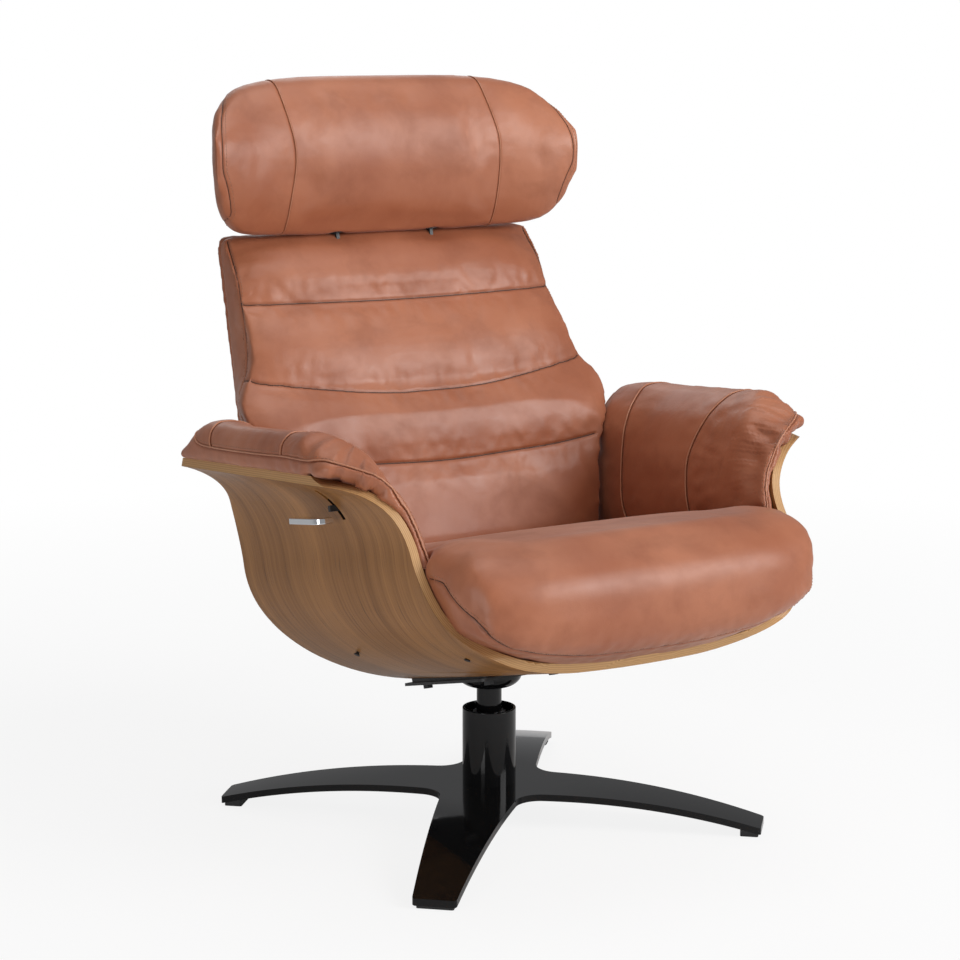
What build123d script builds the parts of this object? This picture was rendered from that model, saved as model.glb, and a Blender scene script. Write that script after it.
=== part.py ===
from build123d import *
import os
from math import atan2, cos, degrees, hypot, radians, sin, sqrt, tan

# Star base swivel recliner.  Millimetres.  +Z is up and the seat faces -Y.  Everything is drawn about the
# swivel column, with Y = 0 on its axis, and moved by COLUMN_Y when it is written, so that the origin ends
# up on the floor under the middle of the whole chair.  The bent wood shell and what slides in it follow
# an axis that rises towards the front: S runs forward along it, U is square to it and points up.

COLUMN_Y = 28.5

# ---- star base -----------------------------------------------------------------------------------------
FOOT_RADIUS = 385.0
LEG_COUNT = 4
LEG_ANGLE = -41.6
LEG_TIP_WIDTH = 57.5
LEG_ROOT_WIDTH = 120.0
LEG_PLATE = 9.5
HUB_TOP = 53.0
TIP_TOP = 14.2
HUB_FLAT_RADIUS = 100.0
CROTCH_RADIUS = 36.0
TIP_CORNER = 5.0
GLIDE_LENGTH = 25.0
GLIDE_WIDTH = 49.0
GLIDE_SETBACK = 4.0

# ---- column and swivel ---------------------------------------------------------------------------------
COLUMN_DIAMETER = 75.0
COLUMN_WALL = 3.5
COLUMN_TOP = 160.0
COLUMN_FOOT = 30.0
SHAFT_DIAMETER = 35.0
JOURNAL_DIAMETER = 28.0
SWIVEL_FIT = 0.05
BUSH_RECESS = 11.0
BUSH_HEIGHT = 26.0
LOWER_BUSH_Z = 48.0
BEARING_HEIGHT = 5.0
BEARING_DIAMETER = 46.0
SHAFT_END = 39.0
CLIP_HEIGHT = 1.6
CLIP_DEPTH = 3.0
CLIP_FLANGE = 9.0
CLIP_MOUTH = 7.0
CLIP_GAP = 0.4
PLUG_HEIGHT = 4.0
DOME_DROP = 15.0
DOME_FLAT_DIAMETER = 46.0
DOME_DIAMETER = 92.0
DOME_HEIGHT = 18.0
DOME_WALL = 2.5

# ---- bent wood shell -----------------------------------------------------------------------------------
SHELL_TILT = 14.7
SHELL_HEIGHT = 207.0
PLY = 12.0
REAR_STATION = -130.0
FRONT_STATION = 330.0
BOWL_HALF_WIDTH = (292.0, 288.0)      # each pair is the size at the rear and at the front station
BOWL_DEPTH = (191.0, 175.0)
BOWL_POWER = (1.95, 2.85)
FLARE_TIP_X = (381.8, 366.5)
FLARE_TIP_U = (344.5, 263.8)
FLARE_POWER = 2.3
FLARE_SWEEP = 75.0

# ---- arm pads ------------------------------------------------------------------------------------------
PAD_WALL = 22.0
PAD_CREST = 57.0
PAD_BORDER = 17.0
PAD_REAR_BORDER = 12.0
PAD_FRONT_RISE = 55.0
PAD_REAR_RISE = 85.0
PAD_OVERHANG = 7.0
PAD_INSET_FRONT = 4.0
PAD_INSET_REAR = 7.0
PAD_BOTTOM_Q = 0.80

# ---- swivel plate under the shell ----------------------------------------------------------------------
PLATE_WIDTH = 150.0
PLATE_REAR = 122.0
PLATE_FRONT = 108.0
PLATE_THICKNESS = 4.0
PLATE_CORNER = 14.0
SADDLE_MARGIN = 9.0
CLAMP_THICKNESS = 4.0
BOLT_X = 52.0
BOLT_S = 86.0
BOLT_DIAMETER = 8.0
BOLT_HEAD_WIDTH = 13.0
BOLT_HEAD_HEIGHT = 6.5

# ---- mechanism inside the shell ------------------------------------------------------------------------
RAIL_X = 150.0
RAIL_PLATE = 4.0
RAIL_TOP = 66.0
RAIL_FRONT = 300.0
RAIL_NOSE = 14.0
RAIL_WINDOW_LENGTH = 44.0
RAIL_WINDOW_HEIGHT = 12.0
RAIL_WINDOWS = (-10.0, 75.0, 235.0)
STRAP_THICKNESS = 4.0
STRAP_WIDTH = 20.0
STRAP_HALF_SPAN = 235.0
FRONT_STRAP_S = 333.0
REAR_STRAP_S = 38.0
STRAP_SCREW_X = 222.0
SCREW_HEAD = 9.0
SCREW_SHANK = 4.5
PIVOT_Y = 105.0
PIVOT_Z = SHELL_HEIGHT + 93.0
PIVOT_PIN = 12.0
PIVOT_FIT = 0.06
EAR_RADIUS = 21.0
HINGE_PLATE = 5.0
HINGE_GAP = 2.0
HINGE_FLANGE = 34.0
GAS_FRONT_S = 150.0
GAS_FRONT_U = 46.0
GAS_ARM_Y = -10.0
GAS_ARM_Z = -72.0
GAS_CYLINDER = 26.0
GAS_ROD = 10.0
GAS_EYE = 22.0
GAS_ROD_SHOWN = 70.0
GAS_PIN = 10.0
GAS_EYE_PLAY = 1.9
CROSS_ROD = 14.0
CROSS_TUBE = 20.0

# ---- seat ----------------------------------------------------------------------------------------------
PAN_HALF_WIDTH = 200.0
PAN_BOTTOM = 78.0
PAN_THICKNESS = 12.0
PAN_REAR = -46.0
PAN_FRONT = 335.0
PAN_CORNER = 40.0
PAN_VENT = 24.0
PAN_VENT_PITCH = (80.0, 100.0)
PAN_VENT_REAR = 40.0
GLIDE_BLOCK = 40.0
GLIDE_GAP = 0.3
SEAT_HALF_WIDTH = 249.0
SEAT_REAR_Y = 71.0
SEAT_REAR_TOP = SHELL_HEIGHT + 178.0
SEAT_FRONT_Y = -345.0
SEAT_FRONT_TOP = SHELL_HEIGHT + 259.0
SEAT_NOSE_Y = -431.0
SEAT_NOSE_Z = SHELL_HEIGHT + 193.0
SEAT_LIP_Y = -386.0
SEAT_LIP_GAP = 5.0
SEAT_CROWN = 9.0

# ---- back ----------------------------------------------------------------------------------------------
BACK_BOTTOM = SHELL_HEIGHT + 121.0
BACK_HEIGHT = 478.0
BACK_TOP = BACK_BOTTOM + BACK_HEIGHT
BACK_HALF_WIDTH = 254.0
BACK_WAIST = 264.0
BACK_SHOULDER = 300.0
BACK_LOWER = 249.0
BACK_CORNER = 14.0
REAR_LEAN = 13.5
REAR_Y_AT_SEAT = 236.0
REAR_REFERENCE_Z = SHELL_HEIGHT + 178.0
COVER_THICKNESS = 12.0
COVER_CORNER = 16.0
BOARD_THICKNESS = 10.0
BOARD_HALF_WIDTH = 222.0
BOARD_DROP = 42.0
BOARD_BOTTOM = BACK_BOTTOM - BOARD_DROP
CHANNEL_SHARES = (0.15, 0.383, 0.607, 0.81)
CHANNEL_FRONTS = (78.0, 88.0, 164.0, 230.0)
CHANNEL_SAGS = (0.0, 14.0, 15.0, 2.0)
BACK_FRONT_BOTTOM = 92.0
BACK_TOP_DEPTH = 46.0
BOARD_VENT_LENGTH = 70.0
BOARD_VENT_HEIGHT = 26.0
BOARD_VENT_PITCH = (110.0, 100.0)
BOARD_TOP_GAP = 18.0
BOARD_CORNER = 30.0
CHANNEL_BULGE = 10.0

# ---- headrest ------------------------------------------------------------------------------------------
HEAD_PIVOT_DEPTH = 29.0
HEAD_PIVOT_RISE = 18.0
HEAD_PIVOT_Z = BACK_TOP + HEAD_PIVOT_RISE
HEAD_BRACKET_X = 80.0
HEAD_BRACKET_PLATE = 5.0
BRACKET_LENGTH = 112.0
BRACKET_FOOT = BACK_TOP - BRACKET_LENGTH
BRACKET_DEPTH = 22.0
HEAD_PIN = 8.0
HEAD_EYE = 11.0
HEAD_GAP = 6.5
HEAD_HEIGHT = 218.5
HEAD_BOTTOM = BACK_TOP + HEAD_GAP
HEAD_TOP = HEAD_BOTTOM + HEAD_HEIGHT
HEAD_REACH = 87.0
HEAD_BOARD_LOW = 44.0
HEAD_BOARD_HEIGHT = 127.0
HEAD_BOARD_CORNER = 24.0
HEAD_BOARD_PLY = 9.0
HEAD_LEAF_HEIGHT = 116.0
HEAD_THICKNESS = 122.0
HEAD_END_SHARE = 0.985
HEAD_HALF_WIDTH = 297.0
HEAD_BOARD_HALF_WIDTH = 190.0

# ---- lever ---------------------------------------------------------------------------------------------
LEVER_PIVOT_S = 142.0
LEVER_PIVOT_U = 256.0
LEVER_SLOT_S = 203.0
LEVER_SLOT_WIDTH = 9.0
LEVER_SLOT_LOW = 231.0
LEVER_SLOT_HIGH = 272.0
LEVER_BAR = 6.0
LEVER_WALL_GAP = 9.3
LEVER_PLATE = 3.0
LEVER_PIN = 6.0
PADDLE_REACH = 42.4
PADDLE_WIDTH = 23.0
PADDLE_LENGTH = 77.0
PADDLE_LEAD = 5.0
PADDLE_THICKNESS = 8.0
BRACKET_BLOCK = (17.0, 11.0)

TILT = radians(SHELL_TILT)
AXIS = (0, -cos(TILT), sin(TILT))
SECTION = Plane(origin=(0, 0, SHELL_HEIGHT), x_dir=(1, 0, 0), z_dir=AXIS)
SIDE = Plane(origin=(0, 0, SHELL_HEIGHT), x_dir=AXIS, z_dir=(-1, 0, 0))
BOW_KNOTS = (0.12, 0.3, 0.48, 0.64, 0.8, 1.0, 1.25, 1.5, 1.75, 2.0)


# ---- helpers -------------------------------------------------------------------------------------------
def to_world(x, s, u):
    """World place of a point of the tilted frame."""
    return Vector(x, -s * cos(TILT) + u * sin(TILT), SHELL_HEIGHT + s * sin(TILT) + u * cos(TILT))


def to_tilted(y, z):
    """S and U of a world point."""
    rise = z - SHELL_HEIGHT
    return -y * cos(TILT) + rise * sin(TILT), y * sin(TILT) + rise * cos(TILT)


def tilted_box(x0, x1, s0, s1, u0, u1):
    """Box square to the tilted frame."""
    block = Box(x1 - x0, u1 - u0, s1 - s0, align=(Align.MIN, Align.MIN, Align.MIN))
    return SECTION * Pos(x0, u0, s0) * block


def side_prism(face, x0, x1):
    """A face drawn in Y and Z, extruded from X = x0 to X = x1."""
    return Pos(x0, 0, 0) * extrude(Plane.YZ * face, x1 - x0)


def tilted_prism(face, x0, x1):
    """A face drawn in S and U, extruded from X = x0 to X = x1."""
    return extrude(Pos(x1, 0, 0) * (SIDE * face), x1 - x0)


def x_rod(radius, x0, x1, y, z):
    """Round bar along X through a world Y, Z."""
    bar = Cylinder(radius, x1 - x0, align=(Align.CENTER, Align.CENTER, Align.MIN))
    return Pos(x0, y, z) * Rot(0, 90, 0) * bar


def smooth_step(value):
    value = min(max(value, 0.0), 1.0)
    return value * value * (3.0 - 2.0 * value)


def mirrored(part):
    return mirror(part, about=Plane.YZ)


def joined(parts):
    """Several separate solids kept as one compound."""
    solids = []
    for part in parts:
        solids.extend(part.solids())
    return Compound(children=solids)


# ---- shell surface -------------------------------------------------------------------------------------
def along_shell(pair, s):
    """Size at station s, on the straight line through its rear and front values."""
    rear, front = pair
    return rear + (front - rear) * (s - REAR_STATION) / (FRONT_STATION - REAR_STATION)


def shell_outer(s, q):
    """X and U of the shell's outer face.  q is 0 under the seat, 1 at the widest part of the bowl where
    the wall stands upright, and 2 at the tip of the rolled-out flare."""
    half = along_shell(BOWL_HALF_WIDTH, s)
    depth = along_shell(BOWL_DEPTH, s)
    if q <= 1.0:
        power = 2.0 / along_shell(BOWL_POWER, s)
        angle = radians(90.0 * q)
        return half * max(sin(angle), 0.0) ** power, depth * (1.0 - max(cos(angle), 0.0) ** power)
    power = 2.0 / FLARE_POWER
    sweep = radians(FLARE_SWEEP)
    angle = sweep * (q - 1.0)
    reach = (along_shell(FLARE_TIP_X, s) - half) / (1.0 - cos(sweep) ** power)
    rise = (along_shell(FLARE_TIP_U, s) - depth) / sin(sweep) ** power
    return half + reach * (1.0 - cos(angle) ** power), depth + rise * sin(angle) ** power


def shell_inside(s, q, inset):
    """Point at a distance inside the outer face, square to it."""
    step = 0.004
    low, high = max(q - step, 0.0), min(q + step, 2.0)
    x0, u0 = shell_outer(s, low)
    x1, u1 = shell_outer(s, high)
    length = hypot(x1 - x0, u1 - u0)
    x, u = shell_outer(s, q)
    return x - inset * (u1 - u0) / length, u + inset * (x1 - x0) / length


def arcs_through(point, knots):
    """Chain of arcs between successive knots of a curve given as a function."""
    chain = []
    for first, last in zip(knots, knots[1:]):
        chain.append(ThreePointArc(point(first), point((first + last) / 2.0), point(last)))
    return chain


def shell_curve(s, inset):
    """Whole U curve from the left tip to the right tip, at an inset from the outer face."""
    def point(q):
        x, u = shell_inside(s, abs(q), inset)
        return (x if q > 0.0 else -x), u

    return arcs_through(point, [-q for q in reversed(BOW_KNOTS)] + list(BOW_KNOTS))


def shell_band(s, inset_out, inset_in):
    """Cross-section between two insets."""
    outer = shell_curve(s, inset_out)
    inner = shell_curve(s, inset_in)
    ends = [Line(outer[0] @ 0, inner[0] @ 0), Line(outer[-1] @ 1, inner[-1] @ 1)]
    return make_face(Wire([*outer, *inner, *ends]))


def under_shell(s, inset):
    """Cross-section of everything below and outside the curve at an inset."""
    curve = shell_curve(s, inset)
    left, right = curve[0] @ 0, curve[-1] @ 1
    side, floor = 520.0, -90.0
    rim = Polyline((right.X, right.Y), (side, right.Y), (side, floor), (-side, floor), (-side, left.Y),
                   (left.X, left.Y))
    return make_face(Wire([*curve, *rim.edges()]))


def between_stations(section, s0, s1):
    """Loft of one kind of section from station s0 to station s1."""
    faces = [SECTION.offset(s) * section(s) for s in (s0, s1)]
    return loft(faces, ruled=True)


FRONT_EDGE = ((0.0, 369.0), (0.25, 384.0), (0.47, 401.0), (0.66, 385.0), (0.84, 366.0), (1.0, 344.0),
              (1.25, 334.0), (1.5, 327.0), (1.72, 317.0), (1.88, 307.0), (2.0, 296.0))
REAR_EDGE = ((0.0, -112.0), (0.5, -126.0), (1.0, -130.0), (1.2, -128.0), (1.4, -113.0), (1.55, -95.0),
             (2.0, -97.0))


def edge_station(edge, q):
    """Station of an edge line at q, read between its points."""
    for (q0, s0), (q1, s1) in zip(edge, edge[1:]):
        if q <= q1:
            return s0 + (s1 - s0) * (q - q0) / (q1 - q0)
    return edge[-1][1]


def side_outline(front_inset, rear_inset, raised=False):
    """Side view, in S and U, between the shell's shaped front and rear edges.  Raised, the front line
    carries on upright above the wood instead of following it back along the flare."""
    reach, top = 40.0, 420.0
    front = [(s - front_inset, shell_outer(s, q)[1]) for q, s in FRONT_EDGE if q > 0.0]
    rear = [(s + rear_inset, shell_outer(s, q)[1]) for q, s in REAR_EDGE]
    first = (FRONT_EDGE[0][1] - front_inset, -reach)
    last = (front[-1][0] - reach, front[-1][1] + 22.0)
    if raised:
        front = [point for point in front if point[1] < FLARE_START_U]
        last = (front[-1][0] + 8.0, front[-1][1] + 120.0)
    front_line = Spline(first, *front, last)
    rear_low = (rear[0][0], -reach)
    rear_high = (rear[-1][0] + 8.0, top)
    edges = [front_line, Line(last, (last[0], top)), Line((last[0], top), rear_high)]
    edges += [Line(rear_high, rear[-1]), Spline(*reversed(rear))]
    edges += [Line(rear[0], rear_low), Line(rear_low, first)]
    return make_face(Wire(edges))


FLARE_START_U = 200.0
SHELL_START, SHELL_STOP = -220.0, 450.0
BELOW_INNER = between_stations(lambda s: under_shell(s, PLY), SHELL_START, SHELL_STOP)


# ---- star base and column ------------------------------------------------------------------------------
def arch_height(radius, drop=0.0):
    """Height of the legs' top face at a distance from the column: flat, then one tangent arc."""
    run, fall = FOOT_RADIUS - HUB_FLAT_RADIUS, HUB_TOP - TIP_TOP
    bend = (run * run + fall * fall) / (2.0 * fall)
    beyond = max(radius - HUB_FLAT_RADIUS, 0.0)
    return HUB_TOP - drop - (bend - sqrt(bend * bend - beyond * beyond))


def arch_face(drop_top, drop_bottom):
    """Half section of the arched star between two depths below its top face."""
    reach = FOOT_RADIUS + 8.0
    middle = (reach + HUB_FLAT_RADIUS) / 2.0
    rows = []
    for drop in (drop_top, drop_bottom):
        flat = Line((0, HUB_TOP - drop), (HUB_FLAT_RADIUS, HUB_TOP - drop))
        bend = ThreePointArc((HUB_FLAT_RADIUS, HUB_TOP - drop), (middle, arch_height(middle, drop)),
                             (reach, arch_height(reach, drop)))
        rows.append((flat, bend))
    (top_flat, top_bend), (low_flat, low_bend) = rows
    ends = [Line(top_bend @ 1, low_bend @ 1), Line(top_flat @ 0, low_flat @ 0)]
    return make_face(Wire([top_flat, top_bend, low_flat, low_bend, *ends]))


def leg_plan():
    """Outline of one tapered leg along +X."""
    root, tip = LEG_ROOT_WIDTH / 2.0, LEG_TIP_WIDTH / 2.0
    corners = [(0, -root), (FOOT_RADIUS, -tip), (FOOT_RADIUS, tip), (0, root)]
    leg = make_face(Polyline(*corners, close=True))
    return fillet(leg.vertices().filter_by(lambda v: v.X > 1.0), TIP_CORNER)


def star_base():
    plan = Sketch()
    for k in range(LEG_COUNT):
        plan += Rot(0, 0, LEG_ANGLE + 360.0 * k / LEG_COUNT) * leg_plan()
    inner = plan.vertices().filter_by(lambda v: hypot(v.X, v.Y) < HUB_FLAT_RADIUS + 1.0)
    plan = fillet(inner, CROTCH_RADIUS)
    arch = revolve(Plane.XZ * arch_face(0.0, LEG_PLATE), Axis.Z)
    bore = Cylinder(COLUMN_DIAMETER / 2.0, 4 * HUB_TOP)
    return arch & extrude(plan, HUB_TOP + 5.0) - bore


def leg_glides():
    """Flat-bottomed glide under each leg tip; its top follows the leg's underside."""
    under_leg = revolve(Plane.XZ * arch_face(LEG_PLATE, HUB_TOP), Axis.Z)
    centre = FOOT_RADIUS - GLIDE_SETBACK - GLIDE_LENGTH / 2.0
    low = (Align.CENTER, Align.CENTER, Align.MIN)
    pads = []
    for k in range(LEG_COUNT):
        block = Box(GLIDE_LENGTH, GLIDE_WIDTH, HUB_TOP, align=low)
        block = fillet(block.edges().filter_by(Axis.Z), 3.0)
        pads.append(Rot(0, 0, LEG_ANGLE + 360.0 * k / LEG_COUNT) * Pos(centre, 0, 0) * block & under_leg)
    return joined(pads)


def ring(outer, inner, z0, height):
    """Plain ring about the column's axis."""
    low = (Align.CENTER, Align.CENTER, Align.MIN)
    body = Cylinder(outer / 2.0, height, align=low)
    if inner > 0.0:
        body -= Cylinder(inner / 2.0, height, align=low)
    return Pos(0, 0, z0) * body


COLUMN_BORE = COLUMN_DIAMETER - 2.0 * COLUMN_WALL
BEARING_Z = COLUMN_TOP - BUSH_RECESS
CLIP_Z = LOWER_BUSH_Z - CLIP_GAP - CLIP_HEIGHT


def column_tube():
    tube = ring(COLUMN_DIAMETER, COLUMN_BORE, COLUMN_FOOT, COLUMN_TOP - COLUMN_FOOT)
    rim = tube.edges().filter_by(GeomType.CIRCLE).group_by(Axis.Z)[-1]
    return fillet(rim, 1.0)


def bush(z0):
    """Nylon bush with a lightening groove cut round its middle."""
    body = ring(COLUMN_BORE, JOURNAL_DIAMETER + 2 * SWIVEL_FIT, z0, BUSH_HEIGHT)
    groove = ring(COLUMN_BORE + 1.0, COLUMN_BORE - 8.0, z0 + BUSH_HEIGHT / 3.0, BUSH_HEIGHT / 3.0)
    return body - groove


def swivel_shaft():
    """Stepped shaft: the journal runs in the bushes, the shoulder sits on the bearing, and the top is
    cut to the slope of the plate it is welded to."""
    journal = ring(JOURNAL_DIAMETER, 0.0, SHAFT_END, BEARING_Z + BEARING_HEIGHT - SHAFT_END)
    neck_z = BEARING_Z + BEARING_HEIGHT
    neck = ring(SHAFT_DIAMETER, 0.0, neck_z, SHELL_HEIGHT + 20.0 - neck_z)
    groove = ring(JOURNAL_DIAMETER + 2.0, JOURNAL_DIAMETER - CLIP_DEPTH, CLIP_Z, CLIP_HEIGHT)
    shaft = journal + neck - groove
    shaft = chamfer(shaft.edges().filter_by(GeomType.CIRCLE).group_by(Axis.Z)[0], 1.5)
    return shaft - above_plate_bottom()


def shaft_clip():
    outer = JOURNAL_DIAMETER + CLIP_FLANGE
    clip = ring(outer, JOURNAL_DIAMETER - CLIP_DEPTH, CLIP_Z, CLIP_HEIGHT)
    return clip - Pos(0, -outer / 2.0, LOWER_BUSH_Z) * Box(CLIP_MOUTH, outer, 20.0)


def above_plate_bottom():
    """Everything above the sloping underside of the swivel plate."""
    return tilted_box(-300, 300, -300, 300, -PLATE_THICKNESS, 200)


def dome_cover():
    """Shallow pressed bowl round the shaft, trimmed by the plate."""
    low = SHELL_HEIGHT - DOME_DROP
    high = low + DOME_HEIGHT
    foot, rim = DOME_FLAT_DIAMETER / 2.0, DOME_DIAMETER / 2.0
    hole = SHAFT_DIAMETER / 2.0

    def wall(shrink, lift):
        centre = (foot - shrink, high + lift)
        return EllipticalCenterArc(centre, rim - foot, high - low, start_angle=270, arc_size=90)

    outer = wall(0.0, 0.0)
    inner = wall(DOME_WALL, DOME_WALL)
    top = high + 12.0
    edges = [Line((hole, low), outer @ 0), outer, Line(outer @ 1, (rim, top)),
             Line((rim, top), (rim - DOME_WALL, top)), Line((rim - DOME_WALL, top), inner @ 1), inner,
             Line(inner @ 0, (hole, low + DOME_WALL)), Line((hole, low + DOME_WALL), (hole, low))]
    bowl = revolve(Plane.XZ * make_face(Wire(edges)), Axis.Z)
    return bowl - above_plate_bottom()


# ---- swivel plate and its bolts ------------------------------------------------------------------------
def bolt_places():
    return [(x, s) for x in (-BOLT_X, BOLT_X) for s in (-BOLT_S, BOLT_S)]


def bolt_holes(play, u0=-20.0, u1=60.0):
    holes = []
    for x, s in bolt_places():
        drill = Cylinder(BOLT_DIAMETER / 2.0 + play, u1 - u0, align=(Align.CENTER, Align.CENTER, Align.MIN))
        holes.append(SECTION * Pos(x, u0, s) * Rot(-90, 0, 0) * drill)
    return holes


def flat_plate(half_width, rear, front, u0, u1, corner):
    """Rectangular plate with round corners, lying along the shell's axis."""
    plate = tilted_box(-half_width, half_width, -rear, front, u0, u1)
    edges = [e for e in plate.edges() if abs(e.length - (u1 - u0)) < 1e-6]
    return fillet(edges, corner)


def swivel_plate():
    plate = flat_plate(PLATE_WIDTH / 2.0, PLATE_REAR, PLATE_FRONT, -PLATE_THICKNESS, 0.0, PLATE_CORNER)
    for hole in bolt_holes(0.25):
        plate -= hole
    return plate


def plate_saddle():
    """Packing between the flat plate and the curved shell, cut to both."""
    half = PLATE_WIDTH / 2.0 - SADDLE_MARGIN
    rear, front = PLATE_REAR - SADDLE_MARGIN, PLATE_FRONT - SADDLE_MARGIN
    block = flat_plate(half, rear, front, 0.0, PLY * 0.7, PLATE_CORNER - 4.0)
    saddle = block - between_stations(lambda s: shell_band(s, 0.0, PLY), SHELL_START, SHELL_STOP)
    for hole in bolt_holes(0.25):
        saddle -= hole
    parts = sorted(saddle.solids(), key=lambda solid: solid.volume)
    return joined([part for part in parts if part.volume > 500.0])


def clamp_top():
    """U where the inner clamp plate's flat top starts: above the curved floor at the plate's sides."""
    return max(shell_inside(s, shell_q_at_x(s, BOLT_X + 14.0), PLY)[1] for s in (-BOLT_S, BOLT_S))


def clamp_plate():
    top = clamp_top() + CLAMP_THICKNESS
    plate = flat_plate(BOLT_X + 14.0, BOLT_S + 16.0, BOLT_S + 16.0, PLY * 0.6, top, PLATE_CORNER)
    plate -= BELOW_INNER
    for hole in bolt_holes(0.25):
        plate -= hole
    return plate


def plate_bolts():
    """Hex head, shank and domed weld nut on top of the clamp plate, four times."""
    bolts = []
    nut_u = clamp_top() + CLAMP_THICKNESS
    for x, s in bolt_places():
        head = extrude(RegularPolygon(BOLT_HEAD_WIDTH / 2.0, 6, major_radius=False), BOLT_HEAD_HEIGHT)
        head = SECTION * Pos(x, -PLATE_THICKNESS - BOLT_HEAD_HEIGHT, s) * Rot(-90, 0, 0) * head
        long = nut_u + 9.0 + PLATE_THICKNESS
        shank = Cylinder(BOLT_DIAMETER / 2.0, long, align=(Align.CENTER, Align.CENTER, Align.MIN))
        shank = SECTION * Pos(x, -PLATE_THICKNESS, s) * Rot(-90, 0, 0) * shank
        bolts.append(head + shank)
    return joined(bolts)


def plate_nuts():
    nuts = []
    for x, s in bolt_places():
        nut = extrude(RegularPolygon(BOLT_HEAD_WIDTH / 2.0, 6, major_radius=False), BOLT_HEAD_HEIGHT)
        nut -= Cylinder(BOLT_DIAMETER / 2.0, 4 * BOLT_HEAD_HEIGHT)
        nuts.append(SECTION * Pos(x, clamp_top() + CLAMP_THICKNESS, s) * Rot(-90, 0, 0) * nut)
    return joined(nuts)


# ---- shell ---------------------------------------------------------------------------------------------
def strap_screw_places():
    """Countersunk screws from outside into the straps, two a side."""
    places = []
    for s in (REAR_STRAP_S, FRONT_STRAP_S):
        for side in (-1.0, 1.0):
            places.append((side, s))
    return places


def screw_axis(side, s):
    """Place on the outer face and inward direction of a strap screw."""
    q = shell_q_at_x(s, STRAP_SCREW_X)
    x0, u0 = shell_outer(s, q)
    x1, u1 = shell_inside(s, q, 1.0)
    start = to_world(side * x0, s, u0)
    return start, (to_world(side * x1, s, u1) - start)


def shell_q_at_x(s, x):
    """q of the bowl where it is x wide."""
    low, high = 0.0, 1.0
    for _ in range(40):
        middle = (low + high) / 2.0
        if shell_outer(s, middle)[0] < x:
            low = middle
        else:
            high = middle
    return (low + high) / 2.0


def strap_screws(grow=0.0):
    """Countersunk screws, or the holes for them when grown."""
    screws = []
    for side, s in strap_screw_places():
        start, direction = screw_axis(side, s)
        plane = Plane(origin=start + direction * 0.6, z_dir=direction)
        length = PLY + STRAP_THICKNESS + 1.5
        low = (Align.CENTER, Align.CENTER, Align.MIN)
        cone = Cone(SCREW_HEAD / 2.0 + grow, SCREW_SHANK / 2.0 + grow, 3.0, align=low)
        shank = Cylinder(SCREW_SHANK / 2.0 + grow, length, align=low)
        screws.append(plane * (cone + shank))
        if grow > 0.0:
            mouth = Cylinder(SCREW_HEAD / 2.0 + grow, 3.0, align=(Align.CENTER, Align.CENTER, Align.MAX))
            screws.append(plane * mouth)
    return screws


def wall_x(s, u, inset):
    """Half width of the upright wall at a height, measured at an inset from its outer face."""
    low, high = 0.9, 2.0
    for _ in range(40):
        middle = (low + high) / 2.0
        if shell_inside(s, middle, inset)[1] < u:
            low = middle
        else:
            high = middle
    return shell_inside(s, low, inset)[0]


LEVER_PLATE_X = -(wall_x(LEVER_PIVOT_S, LEVER_PIVOT_U, PLY) - LEVER_WALL_GAP)
PADDLE_OUTER_X = -(wall_x(LEVER_SLOT_S, LEVER_SLOT_LOW, 0.0) + PADDLE_REACH)


def lever_slot():
    half = LEVER_SLOT_WIDTH / 2.0
    x0, x1 = PADDLE_OUTER_X - 24.0, LEVER_PLATE_X + 16.0
    return tilted_box(x0, x1, LEVER_SLOT_S - half, LEVER_SLOT_S + half, LEVER_SLOT_LOW, LEVER_SLOT_HIGH)


def seat_shell():
    band = between_stations(lambda s: shell_band(s, 0.0, PLY), SHELL_START, SHELL_STOP)
    shell = band & tilted_prism(side_outline(0.0, 0.0), -450, 450)
    for hole in bolt_holes(0.25):
        shell -= hole
    for hole in strap_screws(grow=0.05):
        shell -= hole
    return shell - lever_slot()


# ---- arm pads ------------------------------------------------------------------------------------------
# share of the extra thickness between the wall's and the crest's, at each q; below zero is thinner
PAD_RISE = ((0.80, -0.47), (0.88, -0.15), (1.0, 0.0), (1.25, 0.10), (1.5, 0.38), (1.7, 0.78), (1.88, 1.0),
            (2.0, 0.88))


def pad_thickness(q, s):
    """Stuffing over the wood: full in the middle of the pad, falling to a thin border at both ends."""
    full = PAD_WALL + (PAD_CREST - PAD_WALL) * edge_station(PAD_RISE, q)
    front = smooth_step((edge_station(FRONT_EDGE, q) - s) / PAD_FRONT_RISE)
    rear = smooth_step((s - edge_station(REAR_EDGE, q)) / PAD_REAR_RISE)
    border = min(PAD_BORDER, full)
    rear_border = min(PAD_REAR_BORDER, full)
    thickness = border + (full - border) * front
    return rear_border + (thickness - rear_border) * rear


def pad_section(s):
    """Closed section of the right arm pad, sunk into the wood, which is cut off it afterwards."""
    def face(q):
        return shell_inside(s, q, PLY + pad_thickness(q, s))

    def sunk(q):
        return shell_inside(s, q, PLY * 0.4)

    tip_x, tip_u = shell_inside(s, 2.0, PLY)
    high = pad_thickness(2.0, s)
    over = PAD_OVERHANG
    shoulder = face(2.0)
    flank = (tip_x + over * 1.3, tip_u + high * 0.34)
    nose = (tip_x + over, tip_u - 1.0)
    visible = arcs_through(face, [q for q, _ in PAD_RISE])
    visible.append(ThreePointArc(shoulder, (tip_x + over * 0.75, tip_u + high * 0.77), flank))
    visible.append(ThreePointArc(flank, (flank[0], (flank[1] + nose[1]) / 2.0), nose))
    hidden = arcs_through(sunk, (2.0, 1.7, 1.4, 1.1, PAD_BOTTOM_Q))
    ends = [Line(nose, sunk(2.0)), Line(sunk(PAD_BOTTOM_Q), face(PAD_BOTTOM_Q))]
    return make_face(Wire([*visible, *hidden, *ends]))


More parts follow.
